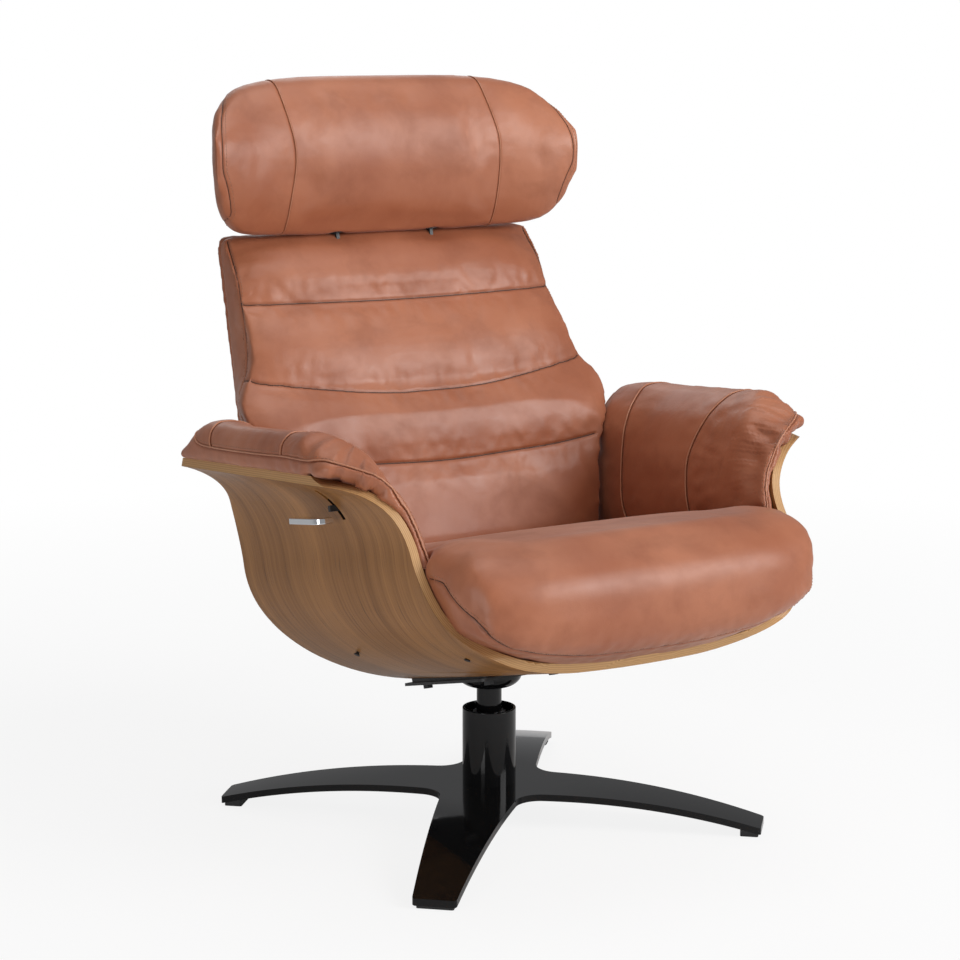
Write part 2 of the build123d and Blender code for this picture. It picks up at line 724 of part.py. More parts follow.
def arm_pad():
    """Right arm pad: it wraps over the flare and down the inner wall to below the seat."""
    step = 25.0
    first, count = -150.0, 22
    pad = loft([SECTION.offset(first + step * k) * pad_section(first + step * k) for k in range(count)])
    pad = pad & tilted_prism(side_outline(PAD_INSET_FRONT, PAD_INSET_REAR, raised=True), 150, 450)
    return (pad & flare_plan()) - BELOW_INNER


def flare_plan():
    """Plan outline that trims the pad's front over the flare straight down to the wood's edge."""
    points = []
    for q in (1.25, 1.5, 1.75, 2.0):
        s = edge_station(FRONT_EDGE, q) - PAD_INSET_FRONT
        x, u = shell_outer(s, q)
        place = to_world(x, s, u)
        points.append((place.X, place.Y))
    nose = Spline(*points)
    tip = (points[-1][0] + 45.0, points[-1][1] + 32.0)
    rim = Polyline(points[-1], tip, (500, 300), (150, 300), (150, -500), (points[0][0], -500), points[0])
    return extrude(Plane.XY * make_face(Wire([nose, *rim.edges()])), 800.0)


def lever_pocket():
    """Room in the left pad for the lever's inner arm and its bracket."""
    x0, x1 = LEVER_PLATE_X - 54.0, LEVER_PLATE_X + 9.0
    s0, s1 = LEVER_PIVOT_S - 26.0, LEVER_SLOT_S + 13.0
    return tilted_box(x0, x1, s0, s1, LEVER_SLOT_LOW - 5.0, LEVER_SLOT_HIGH + 7.0)


# ---- mechanism -----------------------------------------------------------------------------------------
def strap(s):
    """Bent steel strap that follows the inside of the shell."""
    band = between_stations(lambda k: shell_band(k, PLY, PLY + STRAP_THICKNESS), SHELL_START, SHELL_STOP)
    half = STRAP_WIDTH / 2.0
    body = band & tilted_box(-STRAP_HALF_SPAN, STRAP_HALF_SPAN, s - half, s + half, 0, 120)
    for hole in strap_screws(grow=0.05):
        body -= hole
    return body


PIVOT_S, PIVOT_U = to_tilted(PIVOT_Y, PIVOT_Z)


def side_rail(straps):
    """Right rail: a steel plate on edge, with an ear for the back's pivot and a straight top track."""
    ear = EAR_RADIUS
    points = [(PIVOT_S - ear - 4.0, 0.0), (RAIL_FRONT, 0.0), (RAIL_FRONT, RAIL_TOP - RAIL_NOSE),
              (RAIL_FRONT - RAIL_NOSE, RAIL_TOP), (PIVOT_S + ear + 6.0, RAIL_TOP),
              (PIVOT_S + ear, RAIL_TOP + 12.0), (PIVOT_S + ear, PIVOT_U)]
    outline = Polyline(*points)
    crown = ThreePointArc((PIVOT_S + ear, PIVOT_U), (PIVOT_S, PIVOT_U + ear), (PIVOT_S - ear, PIVOT_U))
    rear = Polyline((PIVOT_S - ear, PIVOT_U), (PIVOT_S - ear - 4.0, 0.0))
    face = make_face(Wire([*outline.edges(), crown, *rear.edges()]))
    rail = tilted_prism(face, RAIL_X - RAIL_PLATE / 2.0, RAIL_X + RAIL_PLATE / 2.0)
    rail -= BELOW_INNER
    for part in straps:
        rail -= part
    rod_y, rod_z = gas_front()
    rail -= x_rod(CROSS_ROD / 2.0, 100, 200, rod_y, rod_z)
    for s in RAIL_WINDOWS:
        window = SlotOverall(RAIL_WINDOW_LENGTH, RAIL_WINDOW_HEIGHT)
        rail -= tilted_prism(Pos(s, RAIL_TOP - 15.0) * window, 100, 200)
    return rail - x_rod(PIVOT_PIN / 2.0, 100, 200, PIVOT_Y, PIVOT_Z)


def gas_front():
    place = to_world(0, GAS_FRONT_S, GAS_FRONT_U)
    return place.Y, place.Z


def gas_rear():
    return PIVOT_Y + GAS_ARM_Y, PIVOT_Z + GAS_ARM_Z


def pivot_pins():
    """Shoulder bolts of the back's two pivots: shaft, outer head and inner nut."""
    outer, inner = RAIL_X + RAIL_PLATE / 2.0, hinge_inner_x()
    pin = x_rod(PIVOT_PIN / 2.0, inner - 7.0, outer + 0.5, PIVOT_Y, PIVOT_Z)
    head = x_rod(PIVOT_PIN * 0.8, outer, outer + 5.0, PIVOT_Y, PIVOT_Z)
    nut = x_rod(PIVOT_PIN * 0.8, inner - 7.0, inner - 0.6, PIVOT_Y, PIVOT_Z)
    right = pin + head + nut
    return joined([right, mirrored(right)])


def pivot_washers():
    """Nylon washers between rail and hinge plate."""
    outer = RAIL_X - RAIL_PLATE / 2.0
    washer = x_rod(EAR_RADIUS * 0.7, outer - HINGE_GAP + 0.15, outer, PIVOT_Y, PIVOT_Z)
    washer -= x_rod(PIVOT_PIN / 2.0, outer - 9.0, outer + 9.0, PIVOT_Y, PIVOT_Z)
    return joined([washer, mirrored(washer)])


def hinge_outer_x():
    return RAIL_X - RAIL_PLATE / 2.0 - HINGE_GAP


def hinge_inner_x():
    return hinge_outer_x() - HINGE_PLATE


def front_cross_rod():
    y, z = gas_front()
    return x_rod(CROSS_ROD / 2.0, -RAIL_X - 8.0, RAIL_X + 8.0, y, z)


# ---- gas spring ----------------------------------------------------------------------------------------
def gas_frame():
    """Local frame of the gas spring: Z runs from the front pivot to the rear one."""
    y0, z0 = gas_front()
    y1, z1 = gas_rear()
    direction = Vector(0, y1 - y0, z1 - z0)
    return Plane(origin=(0, y0, z0), x_dir=(1, 0, 0), z_dir=direction), direction.length


def gas_cylinder():
    frame, length = gas_frame()
    low = (Align.CENTER, Align.CENTER, Align.MIN)
    start, stop = GAS_EYE / 2.0 + 2.0, length - GAS_ROD_SHOWN
    barrel = Pos(0, 0, start) * Cylinder(GAS_CYLINDER / 2.0, stop - start, align=low)
    barrel = fillet(barrel.edges().filter_by(GeomType.CIRCLE), 2.0)
    bore = Pos(0, 0, start + 6.0) * Cylinder(GAS_ROD / 2.0 + 0.08, stop, align=low)
    neck = Box(GAS_EYE * 0.7, GAS_EYE * 0.6, start + 6.0, align=low)
    eye = Rot(0, 90, 0) * Cylinder(GAS_EYE / 2.0, GAS_EYE * 0.9)
    hole = Rot(0, 90, 0) * Cylinder(CROSS_ROD / 2.0 + PIVOT_FIT, 3 * GAS_EYE)
    return frame * (barrel + neck + eye - bore - hole)


def gas_rod():
    frame, length = gas_frame()
    low = (Align.CENTER, Align.CENTER, Align.MIN)
    inside = GAS_EYE / 2.0 + 2.0 + 6.0 + 36.0
    rod = Pos(0, 0, inside) * Cylinder(GAS_ROD / 2.0, length - GAS_EYE / 2.0 - inside + 2.0, align=low)
    eye = Pos(0, 0, length) * Rot(0, 90, 0) * Cylinder(GAS_EYE / 2.0, GAS_EYE * 0.7)
    hole = Pos(0, 0, length) * Rot(0, 90, 0) * Cylinder(GAS_PIN / 2.0 + GAS_EYE_PLAY, 3 * GAS_EYE)
    return frame * (rod + eye - hole)


# ---- seat ----------------------------------------------------------------------------------------------
def seat_pan():
    top = PAN_BOTTOM + PAN_THICKNESS
    plate = tilted_box(-PAN_HALF_WIDTH, PAN_HALF_WIDTH, PAN_REAR, PAN_FRONT, PAN_BOTTOM, top)
    plate = fillet([e for e in plate.edges() if abs(e.length - PAN_THICKNESS) < 1e-6], PAN_CORNER)
    for row in range(3):
        for column in range(4):
            across, forward = PAN_VENT_PITCH
            place = Pos(across * (column - 1.5), PAN_BOTTOM - 5.0, PAN_VENT_REAR + forward * row)
            low = (Align.CENTER, Align.CENTER, Align.MIN)
            vent = Cylinder(PAN_VENT / 2.0, PAN_THICKNESS + 10.0, align=low)
            plate -= SECTION * place * Rot(-90, 0, 0) * vent
    return plate


def seat_glides():
    """Nylon blocks under the pan that straddle the rails' top tracks."""
    blocks = []
    for s in (-16.0, 190.0):
        for side in (-1.0, 1.0):
            x = side * RAIL_X
            block = tilted_box(x - 9.0, x + 9.0, s, s + GLIDE_BLOCK, RAIL_TOP - 9.0, PAN_BOTTOM)
            half = RAIL_PLATE / 2.0 + GLIDE_GAP
            low, high = RAIL_TOP - 30.0, RAIL_TOP + GLIDE_GAP
            groove = tilted_box(x - half, x + half, s - 5.0, s + GLIDE_BLOCK + 5.0, low, high)
            blocks.append(block - groove)
    return joined(blocks)


def floor_height(s, x):
    """U of the shell's inner face where it is x wide."""
    low, high = 0.0, 1.0
    for _ in range(40):
        middle = (low + high) / 2.0
        if shell_inside(s, middle, PLY)[0] < x:
            low = middle
        else:
            high = middle
    return shell_inside(s, (low + high) / 2.0, PLY)[1]


def seat_section(x):
    """Side profile of the seat cushion at a distance from its middle: flat on the pan, crowned on top,
    with a deep waterfall nose whose lip follows the shell's front edge."""
    share = abs(x) / SEAT_HALF_WIDTH
    drop = 6.0 * share ** 4
    setback = 22.0 * share ** 5
    tuck = 8.0 * share ** 6
    pan_top = PAN_BOTTOM + PAN_THICKNESS
    lip = to_world(0, PAN_FRONT + 12.0, floor_height(PAN_FRONT, abs(x)) + SEAT_LIP_GAP)
    front = to_world(0, PAN_FRONT + 0.3, pan_top)
    rear_z = SHELL_HEIGHT + (pan_top - SEAT_REAR_Y * sin(TILT)) / cos(TILT)
    raised = 34.0 * smooth_step((share - 0.8) / 0.2)
    inner_low = (lip.Y, lip.Z)
    inner_top = (front.Y - 2.0, max(front.Z - 14.0, lip.Z + 6.0))
    pan_front = (front.Y, max(front.Z + raised, inner_top[1] + 8.0))
    rear_bottom = (SEAT_REAR_Y - tuck, rear_z + raised)
    outer_low = (SEAT_LIP_Y + 0.4 * setback, lip.Z + 14.0)
    nose = (SEAT_NOSE_Y + setback, SEAT_NOSE_Z + 4.0 * share)
    top_front = (SEAT_FRONT_Y, SEAT_FRONT_TOP - drop)
    top_rear = (SEAT_REAR_Y - 16.0, SEAT_REAR_TOP - drop)
    top_middle = ((top_front[0] + top_rear[0]) / 2.0, (top_front[1] + top_rear[1]) / 2.0 + SEAT_CROWN)
    heel = (SEAT_REAR_Y - tuck, top_rear[1] - 20.0)
    lip_low = ((inner_low[0] + outer_low[0]) / 2.0, (inner_low[1] + outer_low[1]) / 2.0 - 2.0)
    chin = (nose[0] + 8.0 - 4.0 * share, (outer_low[1] + nose[1]) / 2.0 - 8.0 - 4.0 * share)
    edges = [
        Line(rear_bottom, pan_front),
        Line(pan_front, inner_top),
        Line(inner_top, inner_low),
        ThreePointArc(inner_low, lip_low, outer_low),
        ThreePointArc(outer_low, chin, nose),
        ThreePointArc(nose, (nose[0] + 20.0, (nose[1] + top_front[1]) / 2.0 + 17.0), top_front),
        ThreePointArc(top_front, top_middle, top_rear),
        ThreePointArc(top_rear, (SEAT_REAR_Y - 4.0 - tuck, top_rear[1] - 7.0), heel),
        Line(heel, rear_bottom),
    ]
    return Plane(origin=(x, 0, 0), x_dir=(0, 1, 0), z_dir=(1, 0, 0)) * make_face(Wire(edges))


def seat_cushion():
    shares = (0.0, 0.2, 0.4, 0.6, 0.78, 0.9, 1.0)
    stations = [-share for share in reversed(shares[1:])] + list(shares)
    return loft([seat_section(share * SEAT_HALF_WIDTH) for share in stations])


# ---- back ----------------------------------------------------------------------------------------------
def rear_line(z):
    """Y of the rear cover's outer face, at a height."""
    return REAR_Y_AT_SEAT + (z - REAR_REFERENCE_Z) * tan(radians(REAR_LEAN))


def board_rear(z):
    return rear_line(z) - COVER_THICKNESS


def board_front(z):
    return board_rear(z) - BOARD_THICKNESS


def slab(front, rear, low, high):
    """Leaning slab drawn in Y and Z between two lines."""
    corners = [(front(low), low), (front(high), high), (rear(high), high), (rear(low), low)]
    return make_face(Polyline(*corners, close=True))


BACK_FRONT_TOP = rear_line(BACK_TOP) - BACK_TOP_DEPTH
HEAD_PIVOT_Y = rear_line(BACK_TOP) - HEAD_PIVOT_DEPTH
HEAD_FRONT = rear_line(BACK_TOP) - HEAD_REACH
REAR_PLANE = Plane(origin=(0, REAR_Y_AT_SEAT, REAR_REFERENCE_Z), x_dir=(1, 0, 0),
                   z_dir=(0, -cos(radians(REAR_LEAN)), sin(radians(REAR_LEAN))))


def back_outline(depth, widths, top):
    """View of the back square to its rear face, a depth in front of it: half widths at heights."""
    lean = radians(REAR_LEAN)

    def place(x, z):
        return x, (z - REAR_REFERENCE_Z - depth * sin(lean)) / cos(lean)

    right = [place(x, z) for x, z in widths]
    tip_x, tip_y = place(widths[-1][0] - BACK_CORNER, top)
    side = Spline(*right)
    turn = ThreePointArc(side @ 1, (tip_x + 0.7 * BACK_CORNER, tip_y - 0.3 * BACK_CORNER), (tip_x, tip_y))
    edges = [side, turn, *[edge.mirror(Plane.YZ) for edge in (side, turn)]]
    edges += [Line((-right[0][0], right[0][1]), right[0]), Line((-tip_x, tip_y), (tip_x, tip_y))]
    return REAR_PLANE.offset(depth) * make_face(Wire(edges))


def up_back(share):
    """Height at a share of the back cushion's own height."""
    return BACK_BOTTOM + share * BACK_HEIGHT


def back_prism():
    """The back tapers from its wide shouldered front to a straight-sided rear face."""
    top = BACK_TOP - BACK_CORNER
    rear = [(BACK_LOWER, up_back(-0.163)), (BACK_LOWER, up_back(0.192)),
            (BACK_HALF_WIDTH - 4.0, up_back(0.402)), (BACK_HALF_WIDTH, up_back(0.569)),
            (BACK_HALF_WIDTH, up_back(0.778)), (BACK_HALF_WIDTH - 1.0, top)]
    front = [(BACK_LOWER, up_back(-0.163)), (BACK_LOWER + 1.0, up_back(0.255)),
             (BACK_SHOULDER - 23.0, up_back(0.4435)), (BACK_SHOULDER, up_back(0.531)),
             (BACK_WAIST + 14.0, up_back(0.619)), (BACK_WAIST, up_back(0.757)),
             (BACK_HALF_WIDTH + 14.0, top)]
    outlines = [back_outline(-4.0, rear, BACK_TOP), back_outline(150.0, front, BACK_TOP)]
    return loft(outlines, ruled=True)


def front_view_prism(face):
    """A face drawn in X and Z, extruded through the whole depth."""
    return extrude(Plane.XZ.offset(-500) * face, 1000)


def back_section(x):
    """Side profile of the back cushion: five sewn channels bulge between seams that sag in the middle."""
    share = abs(x) / BACK_SHOULDER
    setback = 36.0 * share ** 5
    rear = board_rear
    points = [(BACK_FRONT_BOTTOM + setback, BACK_BOTTOM - 2.0)]
    for front, height, sag in zip(CHANNEL_FRONTS, CHANNEL_SHARES, CHANNEL_SAGS):
        points.append((front + setback, up_back(height) - sag * (1.0 - share ** 2)))
    points.append((BACK_FRONT_TOP + min(setback, 12.0), BACK_TOP - 12.0))
    edges = []
    for (y0, z0), (y1, z1) in zip(points, points[1:]):
        length = hypot(y1 - y0, z1 - z0)
        bulge = CHANNEL_BULGE * (1.0 - 0.5 * share ** 4)
        middle = ((y0 + y1) / 2.0 - bulge * (z1 - z0) / length, (z0 + z1) / 2.0 + bulge * (y1 - y0) / length)
        edges.append(ThreePointArc((y0, z0), middle, (y1, z1)))
    top = (rear(BACK_TOP - 6.0), BACK_TOP - 6.0)
    last = points[-1]
    edges.append(ThreePointArc(last, ((last[0] + top[0]) / 2.0, BACK_TOP), top))
    bottom = (rear(BACK_BOTTOM - 2.0), BACK_BOTTOM - 2.0)
    edges += [Line(top, bottom), Line(bottom, points[0])]
    return Plane(origin=(x, 0, 0), x_dir=(0, 1, 0), z_dir=(1, 0, 0)) * make_face(Wire(edges))


def back_board():
    top = BACK_TOP - BOARD_TOP_GAP
    board = side_prism(slab(board_front, board_rear, BOARD_BOTTOM, top), -300, 300)
    outline = RectangleRounded(2 * BOARD_HALF_WIDTH, top - BOARD_BOTTOM, BOARD_CORNER)
    board &= front_view_prism(Pos(0, (top + BOARD_BOTTOM) / 2.0) * outline)
    across, up = BOARD_VENT_PITCH
    for row in (-1, 0, 1):
        for column in (-1, 0, 1):
            vent = SlotOverall(BOARD_VENT_LENGTH, BOARD_VENT_HEIGHT)
            board -= front_view_prism(Pos(across * column, up_back(0.506) + up * row) * vent)
    return board


def head_bracket_gap():
    """Room for the headrest's fixed brackets in the back cushion."""
    gap = HEAD_BRACKET_PLATE + 3.0
    deep = BRACKET_DEPTH + 6.0
    face = slab(lambda z: board_front(z) - deep, board_rear, BRACKET_FOOT - 6.0, BACK_TOP + 20.0)
    slot = side_prism(face, HEAD_BRACKET_X - gap, HEAD_BRACKET_X + gap)
    return slot, mirrored(slot)


def back_cushion(board, brackets):
    half = BACK_SHOULDER + 4.0
    cushion = loft([back_section(half * k / 6.0) for k in range(-6, 7)])
    cushion &= back_prism()
    cushion -= board
    for part in brackets:
        cushion -= part
    return cushion


def back_cover():
    """Upholstered panel behind the board, slightly crowned."""
    half = BACK_HALF_WIDTH + 4.0
    faces = []
    for x in (-half, -0.6 * half, 0.0, 0.6 * half, half):
        crown = 9.0 * (1.0 - (x / half) ** 2)
        face = slab(board_rear, lambda z: rear_line(z) - 3.0 + crown, BOARD_BOTTOM - 4.0, BACK_TOP + 2.0)
        faces.append(Plane(origin=(x, 0, 0), x_dir=(0, 1, 0), z_dir=(1, 0, 0)) * face)
    cover = loft(faces)
    low = BOARD_BOTTOM - 4.0
    outline = RectangleRounded(2 * BACK_HALF_WIDTH - 4.0, BACK_TOP - low, COVER_CORNER)
    return cover & front_view_prism(Pos(0, (low + BACK_TOP) / 2.0) * outline)


def hinge_plate():
    """Right hinge plate of the back: round eye on the pivot, an arm back to the board with a bent flange,
    and a lobe that carries the cross tube."""
    x1, x0 = hinge_outer_x(), hinge_inner_x()
    flange_low, flange_high = BOARD_BOTTOM + 4.0, BACK_BOTTOM - 4.0
    arm = [(PIVOT_Y, PIVOT_Z + EAR_RADIUS - 2.0), (board_front(flange_high), flange_high),
           (board_front(flange_low), flange_low), (cross_tube_place()[0] + 6.0, cross_tube_place()[1] - 12.0),
           (cross_tube_place()[0] - 14.0, cross_tube_place()[1] - 6.0), (PIVOT_Y - EAR_RADIUS + 3.0, PIVOT_Z)]
    plate = side_prism(make_face(Polyline(*arm, close=True)), x0, x1)
    plate += x_rod(EAR_RADIUS - 2.0, x0, x1, PIVOT_Y, PIVOT_Z)
    face = slab(lambda z: board_front(z) - HINGE_PLATE, board_front, flange_low, flange_high)
    plate += side_prism(face, x0 - HINGE_FLANGE, x1)
    return plate - x_rod(PIVOT_PIN / 2.0 + PIVOT_FIT, x0 - 5.0, x1 + 5.0, PIVOT_Y, PIVOT_Z)


def cross_tube_place():
    return PIVOT_Y + 26.0, PIVOT_Z - 34.0


def back_cross_tube():
    """Tube between the hinge plates with the two lugs that push the gas spring."""
    y, z = cross_tube_place()
    tube = x_rod(CROSS_TUBE / 2.0, -hinge_inner_x(), hinge_inner_x(), y, z)
    rear_y, rear_z = gas_rear()
    lugs = []
    inner = GAS_EYE * 0.35 + 1.0
    for side in (-1.0, 1.0):
        x0 = inner if side > 0 else -inner - 5.0
        lug = x_rod(9.0, x0, x0 + 5.0, rear_y, rear_z)
        web = make_face(Polyline((rear_y - 6.0, rear_z + 7.0), (rear_y + 7.0, rear_z - 6.0),
                                 (y + 5.0, z - 8.0), (y - 7.0, z + 7.0), close=True))
        lugs.append(lug + side_prism(web, x0, x0 + 5.0))
    for lug in lugs:
        tube += lug
    return tube - x_rod(GAS_PIN / 2.0, -60, 60, rear_y, rear_z)


def gas_pin():
    y, z = gas_rear()
    half = GAS_EYE * 0.35 + 6.0
    return x_rod(GAS_PIN / 2.0, -half - 1.5, half + 1.5, y, z)


def hinge_screws():
    """Pan-head screws through each hinge flange into the board."""
    screws = []
    x = hinge_inner_x() - 18.0
    for side in (-1.0, 1.0):
        for z in (BOARD_BOTTOM + 12.0, BACK_BOTTOM - 12.0):
            lean = Plane(origin=(side * x, board_front(z) - HINGE_PLATE, z),
                         z_dir=(0, cos(radians(REAR_LEAN)), -sin(radians(REAR_LEAN))))
            head = Cylinder(5.0, 3.0, align=(Align.CENTER, Align.CENTER, Align.MAX))
            screws.append(lean * head)
    return joined(screws)


# ---- headrest ------------------------------------------------------------------------------------------
def head_bracket(inner_x):
    """Fixed steel bracket on the back board, ending in the pivot eye."""
    low, high = BRACKET_FOOT, BACK_TOP - 22.0
    foot = slab(lambda z: board_front(z) - BRACKET_DEPTH, board_front, low, high)
    part = side_prism(foot, inner_x, inner_x + HEAD_BRACKET_PLATE)
    reach = [(board_front(high) - BRACKET_DEPTH, high - 4.0), (HEAD_PIVOT_Y - HEAD_EYE + 1.0, HEAD_PIVOT_Z),
             (HEAD_PIVOT_Y + HEAD_EYE - 1.0, HEAD_PIVOT_Z), (board_front(high), high - 4.0)]
    part += side_prism(make_face(Polyline(*reach, close=True)), inner_x, inner_x + HEAD_BRACKET_PLATE)
    part += x_rod(HEAD_EYE, inner_x, inner_x + HEAD_BRACKET_PLATE, HEAD_PIVOT_Y, HEAD_PIVOT_Z)
    return part - x_rod(HEAD_PIN / 2.0, inner_x - 5.0, inner_x + 20.0, HEAD_PIVOT_Y, HEAD_PIVOT_Z)


def head_brackets(board):
    right = head_bracket(HEAD_BRACKET_X - HEAD_BRACKET_PLATE) - board
    return joined([right, mirrored(right)])


def head_pins():
    inner = HEAD_BRACKET_X - HEAD_BRACKET_PLATE
    pin = x_rod(HEAD_PIN / 2.0, inner - 1.5, inner + 2 * HEAD_BRACKET_PLATE + 2.2, HEAD_PIVOT_Y, HEAD_PIVOT_Z)
    return joined([pin, mirrored(pin)])


HEAD_AXIS_Y = HEAD_FRONT + HEAD_THICKNESS * 0.52
HEAD_BOARD_LEAN = 0.085


def head_board():
    """Stiffener inside the headrest, leaning with it."""
    low = HEAD_BOTTOM + HEAD_BOARD_LOW
    high = low + HEAD_BOARD_HEIGHT

    def front(z):
        return HEAD_AXIS_Y + 4.0 + (z - low) * HEAD_BOARD_LEAN

    face = slab(front, lambda z: front(z) + HEAD_BOARD_PLY, low, high)
    board = side_prism(face, -HEAD_BOARD_HALF_WIDTH, HEAD_BOARD_HALF_WIDTH)
    outline = RectangleRounded(2 * HEAD_BOARD_HALF_WIDTH, HEAD_BOARD_HEIGHT, HEAD_BOARD_CORNER)
    return board & front_view_prism(Pos(0, (low + high) / 2.0) * outline)


def head_leaves(board):
    """Moving leaves of the headrest's two hinges, fixed to the stiffener."""
    x0 = HEAD_BRACKET_X + 0.2
    low, high = HEAD_PIVOT_Z, HEAD_PIVOT_Z + HEAD_LEAF_HEIGHT
    arm = [(HEAD_PIVOT_Y - HEAD_EYE + 1.0, low), (HEAD_AXIS_Y - 14.0, high), (HEAD_AXIS_Y + 6.0, high),
           (HEAD_PIVOT_Y + HEAD_EYE - 1.0, low)]
    leaf = side_prism(make_face(Polyline(*arm, close=True)), x0, x0 + HEAD_BRACKET_PLATE)
    leaf += x_rod(HEAD_EYE, x0, x0 + HEAD_BRACKET_PLATE, HEAD_PIVOT_Y, HEAD_PIVOT_Z)
    leaf -= x_rod(HEAD_PIN / 2.0 + PIVOT_FIT, x0 - 5.0, x0 + 20.0, HEAD_PIVOT_Y, HEAD_PIVOT_Z)
    leaf -= board
    leaf = max(leaf.solids(), key=lambda solid: solid.volume)
    return joined([leaf, mirrored(leaf)])


def head_section(share):
    """Side profile of the headrest bolster: full in the middle, thinner and curled forward in the wings."""
    height = HEAD_TOP - HEAD_BOTTOM
    within = min(share, HEAD_END_SHARE)
    tall = height * (1.0 - within ** 4) ** 0.31
    depth = HEAD_THICKNESS * (1.0 - within ** 7)
    front = HEAD_FRONT + 4.0 - 33.0 * within ** 2.4
    middle = (HEAD_TOP + HEAD_BOTTOM) / 2.0 - 4.0 * within ** 6
    top, bottom = middle + tall / 2.0, middle - tall / 2.0
    rear = front + depth
    bow = 0.29 * depth
    edge = 0.05 * tall
    low_front = (front + bow * 0.84, bottom + 0.3 * edge)
    high_front = (front + bow * 1.06, top - edge)
    high_rear = (rear - bow * 0.80, top - edge)
    low_rear = (rear - bow * 0.72, bottom + edge)
    edges = [
        ThreePointArc(low_front, (front, middle - 2.0), high_front),
        ThreePointArc(high_front, ((high_front[0] + high_rear[0]) / 2.0, top), high_rear),
        ThreePointArc(high_rear, (rear, middle), low_rear),
        ThreePointArc(low_rear, ((low_rear[0] + low_front[0]) / 2.0, bottom), low_front),
    ]
    return make_face(Wire(edges))


def head_cushion(board, leaves):
    shares = (0.0, 0.25, 0.5, 0.65, 0.78, 0.88, 0.95, HEAD_END_SHARE, 1.0)
    stations = [(-share, share) for share in reversed(shares[1:])] + [(share, share) for share in shares]
    faces = []
    for place, share in stations:
        plane = Plane(origin=(place * HEAD_HALF_WIDTH, 0, 0), x_dir=(0, 1, 0), z_dir=(1, 0, 0))
        faces.append(plane * head_section(share))
    cushion = loft(faces)
    cushion -= board
    cushion -= leaves
    low, high = HEAD_PIVOT_Z - 34.0, HEAD_PIVOT_Z + 14.0
    pocket = make_face(Polyline((HEAD_PIVOT_Y - 26.0, low), (HEAD_PIVOT_Y - 20.0, high),
                                (HEAD_PIVOT_Y + 20.0, high), (HEAD_PIVOT_Y + 34.0, low), close=True))
    x0 = HEAD_BRACKET_X - HEAD_BRACKET_PLATE - 3.0
    cut = side_prism(pocket, x0, x0 + 2 * HEAD_BRACKET_PLATE + 6.0)
    cushion -= cut
    cushion -= mirrored(cut)
    return cushion


# ---- lever ---------------------------------------------------------------------------------------------
def lever_bracket():
    """Bracket on the inside of the left wall that holds the lever's pin."""
    s, u = LEVER_PIVOT_S, LEVER_PIVOT_U
    long, tall = BRACKET_BLOCK
    block = tilted_box(LEVER_PLATE_X - 44.0, LEVER_PLATE_X - 1.5, s - long, s + long, u - tall, u + tall)
    block -= BELOW_INNER
    place = to_world(0, s, u)
    return block - x_rod(LEVER_PIN / 2.0, LEVER_PLATE_X - 54.0, LEVER_PLATE_X + 16.0, place.Y, place.Z)


def lever_pin():
    place = to_world(0, LEVER_PIVOT_S, LEVER_PIVOT_U)
    end = LEVER_PLATE_X + LEVER_PLATE
    pin = x_rod(LEVER_PIN / 2.0, LEVER_PLATE_X - 7.0, end + 3.0, place.Y, place.Z)
    return pin + x_rod(LEVER_PIN, end + 0.4, end + 3.0, place.Y, place.Z)


def lever_arm():
    """Flat inner arm from the pin, and the bar that comes out through the slot."""
    s0, u0 = LEVER_PIVOT_S, LEVER_PIVOT_U
    s1, u1 = LEVER_SLOT_S, LEVER_SLOT_LOW + 17.0
    eye_radius, tip = 8.0, s1 + 3.0
    arm = make_face(Polyline((s0, u0 - eye_radius), (tip, u1 - 5.0), (tip, u1 + 5.0), (s0, u0 + eye_radius),
                             close=True))
    x0, x1 = LEVER_PLATE_X, LEVER_PLATE_X + LEVER_PLATE
    plate = tilted_prism(arm, x0, x1)
    eye = to_world(0, s0, u0)
    plate += x_rod(eye_radius, x0, x1, eye.Y, eye.Z)
    half = LEVER_BAR / 2.0
    bar_end = PADDLE_OUTER_X + PADDLE_WIDTH
    plate += tilted_box(bar_end, x1, s1 - half, s1 + half, u1 - 5.0, u1 + 3.0)
    return plate - x_rod(LEVER_PIN / 2.0 + PIVOT_FIT, x0 - 5.0, x1 + 5.0, eye.Y, eye.Z)


def lever_paddle():
    """Chromed paddle outside the wall, sloping down to the front of the slot, its front corner rounded."""
    x0, x1 = PADDLE_OUTER_X, PADDLE_OUTER_X + PADDLE_WIDTH
    outline = make_face(Polyline((0, x0), (PADDLE_LENGTH, x0), (PADDLE_LENGTH, x1), (0, x1), close=True))
    outline = fillet(outline.vertices().filter_by(lambda v: v.X > 1.0 and v.Y < x0 + 1.0), 14.0)
    slope = radians(-5.7)
    start = to_world(0, LEVER_SLOT_S + PADDLE_LEAD - PADDLE_LENGTH, LEVER_SLOT_LOW + 8.5)
    along = Vector(0, -cos(TILT + slope), sin(TILT + slope))
    plane = Plane(origin=start, x_dir=along, z_dir=Vector(1, 0, 0).cross(along) * -1)
    if plane.y_dir.X < 0:
        plane = Plane(origin=start, x_dir=along, z_dir=Vector(1, 0, 0).cross(along))
    paddle = plane * extrude(outline, PADDLE_THICKNESS / 2.0, both=True)
    rims = [e for e in paddle.edges() if e.length > 20.0]
    return fillet(rims, 1.2)


